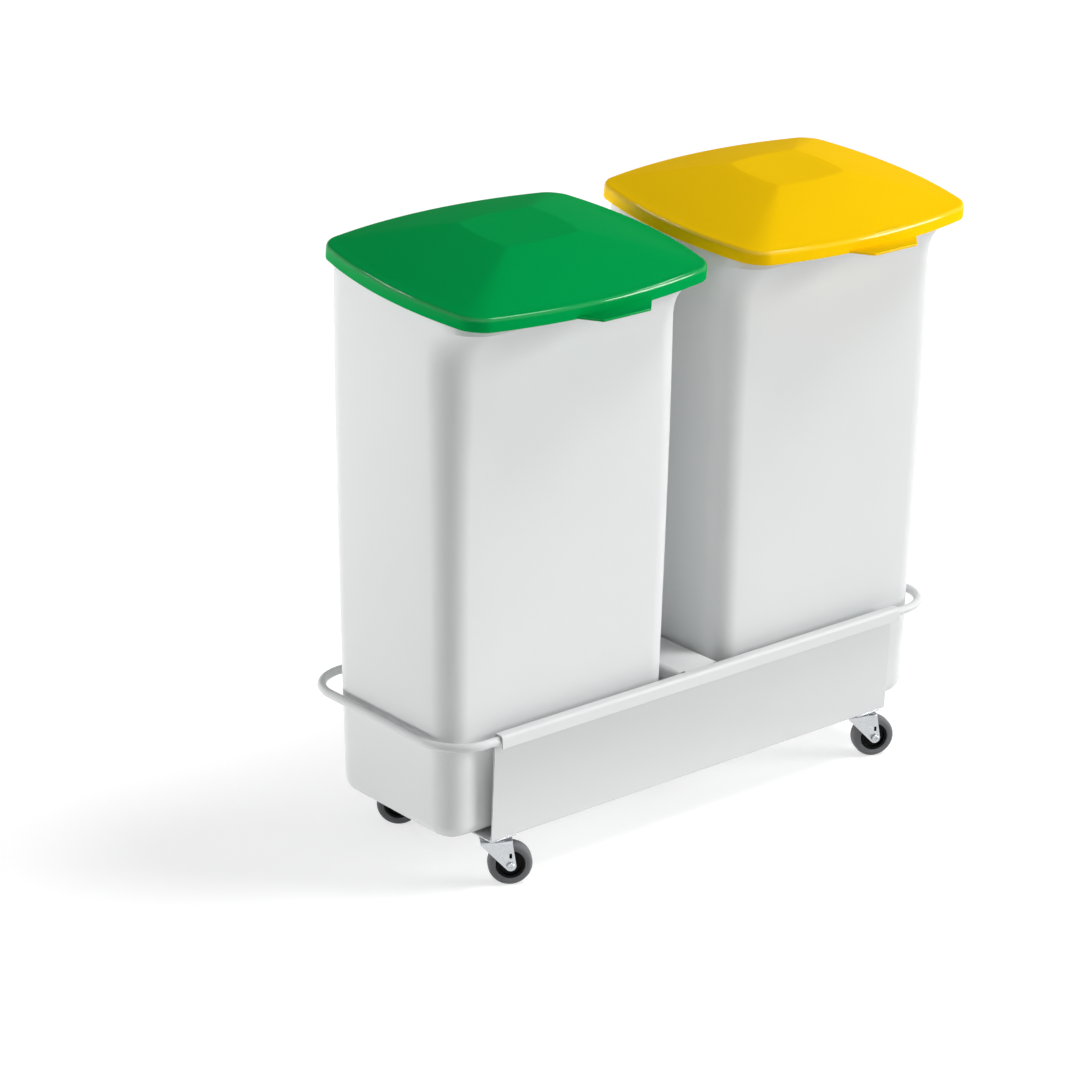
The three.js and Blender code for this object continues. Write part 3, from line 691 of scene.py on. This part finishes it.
# %% Sizes of a hinge
hinge_offset = 60.0
hinge_reach = 4.8
hinge_rise = 4.0
knuckle_width = 16.0
knuckle_radius = 4.5
lug_thickness = 5.0
lug_radius = 4.0
lug_arm_top = 5.9
lug_arm_depth = 17.0
lug_gap = 0.3
lug_offset = knuckle_width / 2 + lug_gap + lug_thickness / 2
hinge_edge = 0.4
pin_radius = 2.0
pin_hole_radius = 2.25
pin_steps = 24
hinge_centre = middle("hinge_pin_green_1")


def pin_hole(x, length):
    profile = [(pin_hole_radius, -length / 2), (pin_hole_radius, length / 2)]
    return turned(profile, lying(Vector((x, hinge_centre.y, hinge_centre.z))), pin_steps)


def lug(x):
    """An arm from the tub's back wall and an eye about the pin."""
    eye = Vector((hinge_centre.y, hinge_centre.z))
    root = trolley_y + tub_back - tub_wall / 2
    arm_top = eye.y - lug_arm_top
    outline = [Vector((root, arm_top - lug_arm_depth)), Vector((eye.x + lug_radius, arm_top))]
    outline += arc(eye, lug_radius, 0, math.pi)
    outline += [Vector((eye.x - lug_radius, arm_top)), Vector((root, arm_top))]
    return pushed(outline, lug_thickness, lambda y, z, depth: Vector((x + depth, y, z)))


print("hinge line at", round(hinge_centre.y, 1), round(hinge_centre.z, 1), "mm")

# %% Make the tubs and their lugs
for tint in ("green", "yellow"):
    centre_x = middle("tub_" + tint).x
    body = "tub_" + tint
    shell = to_object(body + "_shell", tub(centre_x))
    finish_piece(shell, tub_plastic, body, [body])
    pairs = [(side, face) for side in (-1, 1) for face in (-1, 1)]
    for number, (side, face) in enumerate(pairs, start=1):
        x = centre_x + side * hinge_offset
        piece = to_object(f"{body}_lug_{number}", lug(x + face * lug_offset))
        carve(piece, pin_hole(x, 4 * knuckle_width))
        finish_piece(piece, tub_plastic, body, edge=hinge_edge)
    print(body, "has", len(shell.data.polygons), "faces")

# %% [markdown]
# ## The lids
#
# In plan a lid is a rectangle whose four sides bow out. A short skirt hangs round it, and four
# gently crowned slopes climb to a small flat top. All rings have equal counts, so each point of
# the edge has its own straight way up to the flat top, and the hips form by themselves.

# %% Sizes of a lid
lid_half_width = 181.0
lid_half_depth = 155.5
skirt_drop = 16.0
side_bow = 19.0
end_bow = 21.0
lid_corner = 20.0
lid_skin = 2.5
lid_edge = 5.0
lid_sharp = math.radians(50)
flat_half_width = 55.0
flat_half_depth = 47.0
flat_bow = 5.0
flat_corner = 3.0
flat_rise = 29.0
slope_crown = 0.2
grip_root = 100.0
grip_tip = 64.0
grip_offset = 9.0
grip_reach = 20.0
grip_thickness = 3.0
grip_corners = [0, 2.0, 4.0, 4.0, 2.0, 0]
grip_edge = 0.9
lid_corner_steps = 8
lid_side_steps = 18
lid_edge_steps = 6
slope_steps = 12
near_flat = [0.955, 0.985, 1.0, 1.03]
print("lid:", 2 * lid_half_width, "by", 2 * lid_half_depth, "mm")


# %% Rings of a lid, in the lid's own tilted axes
def bowed(half_width, half_depth, bow_x, bow_y, radius):
    """A rounded rectangle whose sides bow out to the half sizes given."""
    square_x = half_width - bow_x
    square_y = half_depth - bow_y
    result = []
    for p in side_points(square_x, square_y, square_y, radius, lid_corner_steps, lid_side_steps):
        stretch_x = 1 + bow_x / square_x * (1 - (p.y / square_y) ** 2)
        stretch_y = 1 + bow_y / square_y * (1 - (p.x / square_x) ** 2)
        result.append(Vector((p.x * stretch_x, p.y * stretch_y)))
    return result


def lid_ring(inset, z):
    """The lid's own outline, drawn in by an inset, at one height."""
    outline = bowed(lid_half_width - inset, lid_half_depth - inset, side_bow, end_bow,
                    lid_corner - inset)
    return [Vector((p.x, p.y, z)) for p in outline]


def lid_skin_rings(inset):
    """Skirt, round edge, slopes and flat top of one side of the lid's wall.

    The last rings gather where the slope meets the flat top, and the very last one lies inside it.
    """
    radius = lid_edge - inset
    rings = [lid_ring(inset, -skirt_drop)]
    for step in range(lid_edge_steps + 1):
        angle = math.pi / 2 * step / lid_edge_steps
        rings.append(lid_ring(inset + radius * (1 - math.cos(angle)),
                              -lid_edge + radius * math.sin(angle)))
    foot = lid_ring(lid_edge, 0.0)
    flat = bowed(flat_half_width, flat_half_depth, flat_bow, flat_bow, flat_corner)
    for share in [k / slope_steps for k in range(1, slope_steps)] + near_flat:
        climb = min(share, 1.0)
        rise = flat_rise * (climb + slope_crown * climb * (1 - climb))
        rings.append([Vector((a.x + (b.x - a.x) * share, a.y + (b.y - a.y) * share, rise - inset))
                      for a, b in zip(foot, flat)])
    return rings


def lid_shell():
    return loft(lid_skin_rings(lid_skin)[::-1] + lid_skin_rings(0.0))


print("points in each ring of a lid:", len(lid_ring(0.0, 0.0)))

# %% Grip and knuckles
def grip():
    """The lip that fingers lift, in plan a trapezium."""
    root_y = -lid_half_depth + 2 * lid_skin
    left, right = grip_offset - grip_root / 2, grip_offset + grip_root / 2
    tip_left, tip_right = grip_offset - grip_tip / 2, grip_offset + grip_tip / 2
    tip_y = -lid_half_depth - grip_reach
    outline = rounded([
        (left, root_y), (left, -lid_half_depth), (tip_left, tip_y),
        (tip_right, tip_y), (right, -lid_half_depth), (right, root_y),
    ], grip_corners)
    height = -skirt_drop + grip_thickness / 2
    return pushed(outline, grip_thickness, lambda x, y, z: Vector((x, y, height + z)))


def knuckle(x):
    """A block at the foot of the skirt that ends in an eye about the pin."""
    eye = Vector((lid_half_depth + hinge_reach, -skirt_drop + hinge_rise))
    root = lid_half_depth - end_bow / 2
    outline = [Vector((root, eye.y + knuckle_radius)), Vector((root, eye.y - hinge_rise))]
    outline += arc(eye, knuckle_radius, -math.pi / 2, math.pi / 2)
    return pushed(outline, knuckle_width, lambda y, z, depth: Vector((x + depth, y, z)))


def settle(solid, centre_x):
    """Turns a solid from the lid's own axes to where the closed lid lies."""
    for vertex in solid.verts:
        x, y, z = vertex.co
        vertex.co = Vector((
            centre_x + x,
            trolley_y + lid_centre_y + y * math.cos(lid_tilt) - z * math.sin(lid_tilt),
            lid_height + y * math.sin(lid_tilt) + z * math.cos(lid_tilt)))
    return solid


print("grip stands", grip_reach, "mm proud")

# %% Make the lids
for tint, plastic in (("green", green_plastic), ("yellow", yellow_plastic)):
    centre_x = middle("lid_" + tint).x
    body = "lid_" + tint
    shell = to_object(body + "_shell", settle(lid_shell(), centre_x))
    finish_piece(shell, plastic, body, [body], sharp=lid_sharp)
    lip = to_object(body + "_grip", settle(grip(), centre_x))
    finish_piece(lip, plastic, body, edge=grip_edge)
    for number, side in enumerate((-1, 1), start=1):
        x = side * hinge_offset
        piece = to_object(f"{body}_knuckle_{number}", settle(knuckle(x), centre_x))
        carve(piece, pin_hole(centre_x + x, 2 * knuckle_width))
        finish_piece(piece, plastic, body, edge=hinge_edge)
    print(body, "has", len(shell.data.polygons), "faces")

# %% [markdown]
# ## Castors
#
# Each castor hangs on a kingpin under a riveted plate. The fork is a bent strip whose cheeks
# taper to the axle, and the wheel is a black core with a grey tyre. The wheel trails behind
# the kingpin, so a castor's heading can be read off its CAD nodes.

# %% A castor's own axes
class Castor:
    """The names, bodies and axes of one castor. Its wheel trails along its own +X."""

    def __init__(self, place):
        self.name = f"castor_{place}_"
        self.fork_body = "fork_" + place
        self.wheel_body = "wheel_" + place
        self.kingpin = middle(self.name + "kingpin")
        wheel = middle(self.name + "tyre")
        run_x, run_y = wheel.x - self.kingpin.x, wheel.y - self.kingpin.y
        self.trail = math.hypot(run_x, run_y)
        self.along = Vector((run_x / self.trail, run_y / self.trail))
        self.axle_z = wheel.z

    def where(self, x, y, z):
        """A point in axes that turn with the fork about the kingpin."""
        return Vector((self.kingpin.x + x * self.along.x - y * self.along.y,
                       self.kingpin.y + x * self.along.y + y * self.along.x, z))

    def about_axle(self, x, z, sideways):
        """A point of a profile that is turned about the axle."""
        return self.where(self.trail + x, sideways, self.axle_z + z)

    def heights(self, part):
        """The lowest and the highest point of one of its CAD nodes, in millimetres."""
        low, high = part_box(self.name + part)
        return low[2] / MM, high[2] / MM


castors = [Castor(place) for place in ("front_left", "front_right", "rear_left", "rear_right")]
for castor in castors:
    heading = math.degrees(math.atan2(castor.along.y, castor.along.x))
    print(castor.name + "wheel heads", round(heading), "degrees")

# %% [markdown]
# The fork starts as a bent strip, wider than it ends. Its side outline then trims it, and holes
# for kingpin and axle and a slot in each cheek are cut through.

# %% Sizes of a fork
fork_sheet = 2.0
fork_bend = 2.0
fork_half = 12.3
fork_edge = 0.25
crown_half = 18.0
cheek_end = 6.3
cheek_tip = 3.5
slot_half_width = 1.5
slot_half_height = 2.9
slot_rise = 12.0
slot_corner = 0.5
kingpin_hole = 4.2
axle_hole = 2.8
hole_steps = 32
cutter_width = 60.0
overshoot = 5.0


def fork_blank(castor, crown_top):
    half = fork_half - fork_sheet / 2
    top = crown_top - fork_sheet / 2
    line = rounded([(-half, 0), (-half, top), (half, top), (half, 0)], fork_bend, closed=False)
    return pushed(thickened(line, fork_sheet), 4 * crown_half,
                  lambda y, z, x: castor.where(x, y, z))


def fork_side(castor, crown_top):
    """The fork from the side: square crown, slanted back, round end about the axle."""
    tip = Vector((-crown_half, crown_top - cheek_tip))
    axle = Vector((castor.trail, castor.axle_z))
    away = axle - tip
    start = math.atan2(away.y, away.x) - math.asin(cheek_end / away.length) - math.pi / 2
    outline = [Vector((-crown_half, crown_top + overshoot)), tip]
    outline += arc(axle, cheek_end, start, 0)
    outline += [Vector((crown_half, tip.y)), Vector((crown_half, crown_top + overshoot))]
    return outline


def make_fork(castor):
    crown_top = castor.heights("fork")[1]
    piece = to_object(castor.name + "fork_strip", fork_blank(castor, crown_top))

    def across(outline):
        return pushed(outline, cutter_width, lambda x, z, y: castor.where(x, y, z))

    carve(piece, across(fork_side(castor, crown_top)), "INTERSECT")
    carve(piece, turned([(kingpin_hole, 0), (kingpin_hole, crown_top + overshoot)],
                        castor.where, hole_steps))
    carve(piece, turned([(axle_hole, -cutter_width / 2), (axle_hole, cutter_width / 2)],
                        castor.about_axle, hole_steps))
    left, right = castor.trail - slot_half_width, castor.trail + slot_half_width
    low = castor.axle_z + slot_rise - slot_half_height
    high = castor.axle_z + slot_rise + slot_half_height
    slot = [(left, low), (right, low), (right, high), (left, high)]
    carve(piece, across(rounded(slot, slot_corner, steps=2)))
    finish_piece(piece, zinc, castor.fork_body, [castor.name + "fork"], fork_edge)


print("fork:", 2 * fork_half, "mm wide")

# %% [markdown]
# Every other part of a castor takes the place of the CAD node of its own name. Most are turned:
# their profiles are given in millimetres from the axis. What stands upright in the plate takes
# its heights from the nodes.

# %% Plate, race, kingpin and rivets
near_axis = 0.05
seat_round = 0.1
plate_corner = 3.0
plate_edge = 0.3
countersink = 1.7
cutter_top = 70.0
race_waist = 0.5
race_edge = 0.8
race_softness = 0.15
kingpin_head_radius = 6.5
kingpin_head_height = 2.0
kingpin_dome = 1.2
kingpin_shank = 3.9
kingpin_flare = 5.6
rivet_hole = 2.3
rivet_hole_steps = 20
rivet_shank = 2.0
rivet_head_radius = 3.4
rivet_head_height = 1.2
rivet_dome = 1.1
rivet_parts = ("rivet_1", "rivet_2")


def add_part(castor, part, solid, body, finish=zinc, edge=0.0, cuts=()):
    """Puts a finer solid, with its cuts, in the place of one of the castor's CAD nodes."""
    node = castor.name + part
    piece = to_object(node + "_fine", solid)
    for cut in cuts:
        carve(piece, cut)
    finish_piece(piece, finish, body, [node], edge)


def make_top_plate(castor):
    low, high = box_in_mm(castor.name + "top_plate")
    half = (high - low) / 2
    about_kingpin = upright(castor.kingpin)
    outline = rounded(rectangle(half.x, half.y, half.y), plate_corner)
    plate = pushed(outline, 2 * half.z, lambda x, y, z: about_kingpin(x, y, low.z + half.z + z))
    flare = kingpin_hole + countersink
    cuts = [turned([(kingpin_hole, 0), (kingpin_hole, low.z), (flare, high.z),
                    (flare, cutter_top)], about_kingpin, hole_steps)]
    for part in rivet_parts:
        cuts.append(turned([(rivet_hole, 0), (rivet_hole, cutter_top)],
                           upright(middle(castor.name + part)), rivet_hole_steps))
    add_part(castor, "top_plate", plate, "trolley", edge=plate_edge, cuts=cuts)


def race_profile(castor):
    low, high = box_in_mm(castor.name + "swivel_race")
    radius = (high.x - low.x) / 2
    waist = (low.z + high.z) / 2
    return soft_profile([
        (kingpin_hole, low.z), (radius - race_edge, low.z), (radius, low.z + race_edge),
        (radius, waist - race_waist), (radius - race_waist, waist), (radius, waist + race_waist),
        (radius, high.z - race_edge), (radius - race_edge, high.z), (kingpin_hole, high.z),
    ], race_softness)


def kingpin_profile(castor):
    low, high = castor.heights("kingpin")
    plate_low, _ = castor.heights("top_plate")
    under_head = low + kingpin_head_height
    return solid_profile([
        (near_axis, low), (kingpin_head_radius, low), (kingpin_head_radius, under_head),
        (kingpin_shank, under_head), (kingpin_shank, plate_low), (kingpin_flare, high),
        (near_axis, high)], [0, kingpin_dome, seat_round, 0, 0, seat_round, 0])


def rivet_profile(castor, part):
    low, high = castor.heights(part)
    over = low + rivet_head_height
    under = high - rivet_head_height
    return solid_profile([
        (near_axis, low), (rivet_head_radius, low), (rivet_head_radius, over),
        (rivet_shank, over), (rivet_shank, under), (rivet_head_radius, under),
        (rivet_head_radius, high), (near_axis, high)],
        [0, rivet_dome, 0, 0, 0, 0, rivet_dome, 0])


def make_swivel(castor):
    """What stays with the trolley when the fork turns."""
    about_kingpin = upright(castor.kingpin)
    make_top_plate(castor)
    add_part(castor, "swivel_race", turned(race_profile(castor), about_kingpin), "trolley")
    add_part(castor, "kingpin", turned(kingpin_profile(castor), about_kingpin), "trolley")
    for part in rivet_parts:
        about_rivet = upright(middle(castor.name + part))
        rivet = turned(rivet_profile(castor, part), about_rivet, pin_steps)
        add_part(castor, part, rivet, "trolley")


print("kingpin hole:", 2 * kingpin_hole, "mm across")

# %% Wheels
wheel_steps = 72
tyre_half_width = 9.0
tyre_shoulder = 4.5
tyre_bead = 0.6
tyre_gap = 0.3
core_bore = 4.25
hub_radius = 7.5
hub_half = 9.5
web_half = 4.0
rim_inner = 13.5
rim_half = 8.0
core_radius = 16.3
core_softness = 0.4


def tyre_profile(castor):
    inner, outer = core_radius + tyre_gap, castor.axle_z
    return soft_profile([
        (inner, -tyre_half_width), (outer, -tyre_half_width),
        (outer, tyre_half_width), (inner, tyre_half_width),
    ], [tyre_bead, tyre_shoulder, tyre_shoulder, tyre_bead])


def core_profile():
    """Hub, thin web and rim. One half is drawn and the other mirrors it."""
    half = [(core_bore, hub_half), (hub_radius, hub_half), (hub_radius, web_half),
            (rim_inner, web_half), (rim_inner, rim_half), (core_radius, rim_half)]
    mirrored = [(radius, -height) for radius, height in half]
    return soft_profile(mirrored + half[::-1], core_softness)


def make_wheel(castor):
    tyre = turned(tyre_profile(castor), castor.about_axle, wheel_steps)
    add_part(castor, "tyre", tyre, castor.wheel_body, tyre_rubber)
    core = turned(core_profile(), castor.about_axle, wheel_steps)
    add_part(castor, "wheel_core", core, castor.wheel_body, core_plastic)


print("wheel:", round(2 * castors[0].axle_z, 1), "mm across")

# %% Axles
sleeve_radius = 4.0
sleeve_half = 10.0
sleeve_softness = 0.2
sleeve_steps = 32
bolt_steps = 40
bolt_gap = 0.3
bolt_head_radius = 4.3
bolt_head_height = 2.4
bolt_dome = 1.6
bolt_shank = 2.5
bolt_end = 5.3
bolt_end_round = 0.5
recess_length = 4.8
recess_width = 1.1
recess_cut = 2.4
nut_half_flats = 4.0
nut_height = 4.0
nut_edge = 0.35


def bolt_profile(head):
    """An axle bolt whose head sits on the place given."""
    face = head - bolt_head_height
    end = fork_half + bolt_end
    return solid_profile([
        (near_axis, face), (bolt_head_radius, face), (bolt_head_radius, head),
        (bolt_shank, head), (bolt_shank, end), (near_axis, end)],
        [0, bolt_dome, seat_round, 0, bolt_end_round, 0])


def make_bolt(castor):
    """A bolt with a cross recess. Half of each cutter stands outside the head."""
    head = -fork_half - bolt_gap
    face = head - bolt_head_height
    cuts = [slab(size, lambda x, depth, z: castor.about_axle(x, z, face + depth))
            for size in (Vector((recess_length, recess_cut, recess_width)),
                         Vector((recess_width, recess_cut, recess_length)))]
    bolt = turned(bolt_profile(head), castor.about_axle, bolt_steps)
    add_part(castor, "axle_bolt", bolt, castor.fork_body, cuts=cuts)


def make_nut(castor):
    corner_radius = nut_half_flats / math.cos(math.pi / 6)
    hexagon = arc(Vector((0, 0)), corner_radius, 0, math.tau, 6)[:-1]
    centre = fork_half + bolt_gap + nut_height / 2
    nut = pushed(hexagon, nut_height, lambda x, z, depth: castor.about_axle(x, z, centre + depth))
    hole = turned([(axle_hole, 0), (axle_hole, cutter_width / 2)], castor.about_axle, hole_steps)
    add_part(castor, "axle_nut", nut, castor.fork_body, edge=nut_edge, cuts=[hole])


def make_axle(castor):
    profile = soft_profile([
        (axle_hole, -sleeve_half), (sleeve_radius, -sleeve_half),
        (sleeve_radius, sleeve_half), (axle_hole, sleeve_half)], sleeve_softness)
    sleeve = turned(profile, castor.about_axle, sleeve_steps)
    add_part(castor, "axle_sleeve", sleeve, castor.fork_body)
    make_bolt(castor)
    make_nut(castor)


print("axle bolt:", 2 * bolt_shank, "mm thick")

# %% Build the four castors
for castor in castors:
    make_fork(castor)
    make_swivel(castor)
    make_wheel(castor)
    make_axle(castor)
    print(castor.name + "kingpin at", *(round(value, 1) for value in castor.kingpin.xy), "mm")

# %% [markdown]
# ## Hinge pins
#
# The four pins are plain rods with a low rounded head at each end. They ride on the tubs, and
# the lids' knuckles turn about them.

# %% Turn the hinge pins
pin_head_radius = 3.0
pin_head_height = 1.5
pin_dome = 0.8


def hinge_pin(node):
    low, high = box_in_mm(node)
    half = (high.x - low.x) / 2
    under = half - pin_head_height
    profile = solid_profile([
        (near_axis, -half), (pin_head_radius, -half), (pin_head_radius, -under),
        (pin_radius, -under), (pin_radius, under), (pin_head_radius, under),
        (pin_head_radius, half), (near_axis, half)], [0, pin_dome, 0, 0, 0, 0, pin_dome, 0])
    return turned(profile, lying((low + high) / 2), pin_steps)


for tint in ("green", "yellow"):
    for number in (1, 2):
        node = f"hinge_pin_{tint}_{number}"
        finish_piece(to_object(node + "_fine", hinge_pin(node)), zinc, "tub_" + tint, [node])
    print(tint, "hinge pins:", number)

# %% [markdown]
# ## Studio
#
# The picture has a white ground and a soft shadow to the left. The floor is plain paper for
# every ray that lights the bin, and what the lens sees of it is partly white by itself. The
# world does the same: the lens sees white, and the bin gets a faint even light.

# %% Floor and world
floor_size = 60.0
paper_share = 0.55
paper_tone = 0.93
floor_white = 1.42
ambient = 0.2
full_white = (1.0, 1.0, 1.0, 1.0)


def seen(graph):
    """1 for rays from the lens, off gloss or through glass, and 0 for rays that carry light."""
    return (graph.node("LightPath", output="Is Camera Ray")
            + graph.node("LightPath", output="Is Glossy Ray")
            + graph.node("LightPath", output="Is Transmission Ray"))


floor_mesh = bpy.data.meshes.new("floor")
corners = [(x, y, 0) for x, y in rectangle(floor_size, floor_size, floor_size)]
floor_mesh.from_pydata(corners, [], [(0, 1, 2, 3)])
floor = add_object("floor", floor_mesh)
floor_material = bpy.data.materials.new("floor")
floor_graph = Graph(floor_material)
paper = floor_graph.node("BsdfDiffuse", {}, {"Color": (paper_tone, paper_tone, paper_tone, 1.0)})
white = floor_graph.node("Emission", {}, {"Color": full_white, "Strength": floor_white})
floor_look = floor_graph.node("MixShader", {}, {
    0: seen(floor_graph) * (1 - paper_share), 1: paper, 2: white})
floor_graph.node("OutputMaterial", {}, {"Surface": floor_look})
floor_mesh.materials.append(floor_material)

scene.world = bpy.data.worlds.new("studio")
world_graph = Graph(scene.world)
sky = seen(world_graph) * (1 - ambient) + ambient
background = world_graph.node("Background", {}, {"Color": full_white, "Strength": sky})
world_graph.node("OutputWorld", {}, {"Surface": background})
print("floor and world: white to the lens,", ambient, "of full light on the bin")

# %% [markdown]
# Soft lamps stand low on both sides of the lens, so walls that face sideways are light and the
# corner that faces the lens stays darker. A low one at the back lights the gap between the tubs,
# and a weak one comes from the lens. One lamp high on the right casts the shadow. Two thin
# strips high behind the bin reach only glossy surfaces, where they draw a line along round edges.

# %% Lamps
bin_middle = Vector((0.0, 0.0, 0.37))


def sun(name, heading, height, strength, spread):
    """A sun lamp. heading is in degrees clockwise from the lens and height above the floor.

    A strength of 1 lights a white surface that faces the lamp to full white.
    """
    data = bpy.data.lights.new(name, "SUN")
    data.energy = strength * math.pi
    data.angle = math.radians(spread)
    towards = direction(camera_azimuth + math.radians(heading), math.radians(height))
    add_object(name, data).rotation_euler = towards.to_track_quat("Z", "Y").to_euler()


def strip(name, heading, distance, height, strength, width, depth):
    """A level strip of light, in metres, that faces the middle of the bin.

    Its power grows with the square of the distance, so strength alone sets the light on the bin.
    """
    data = bpy.data.lights.new(name, "AREA")
    data.shape = "RECTANGLE"
    data.size = width
    data.size_y = depth
    data.energy = strength * (math.pi * distance) ** 2
    lamp = add_object(name, data)
    towards = direction(camera_azimuth + math.radians(heading), 0.0)
    lamp.location = towards * distance + Vector((0.0, 0.0, height))
    lamp.rotation_euler = (lamp.location - bin_middle).to_track_quat("Z", "Y").to_euler()
    lamp.visible_camera = False
    return lamp


sun("right_fill", heading=90, height=15, strength=0.74, spread=24)
for name, heading, distance, strength in (("left_fill", -90, 2.4, 0.43),
                                          ("rear_fill", -122, 1.6, 0.3)):
    fill = strip(name, heading, distance, height=0.2, strength=strength, width=1.4, depth=0.3)
    fill.visible_glossy = False
sun("front_fill", heading=0, height=20, strength=0.06, spread=50)
sun("key", heading=90, height=62, strength=0.45, spread=20)
for name, heading in (("left_glint", -118), ("right_glint", 122)):
    glint = strip(name, heading, distance=4.0, height=4.6, strength=0.5, width=2.6, depth=0.12)
    glint.visible_diffuse = False
scene.view_settings.view_transform = "Standard"
print("lamps:", len(bpy.data.lights))
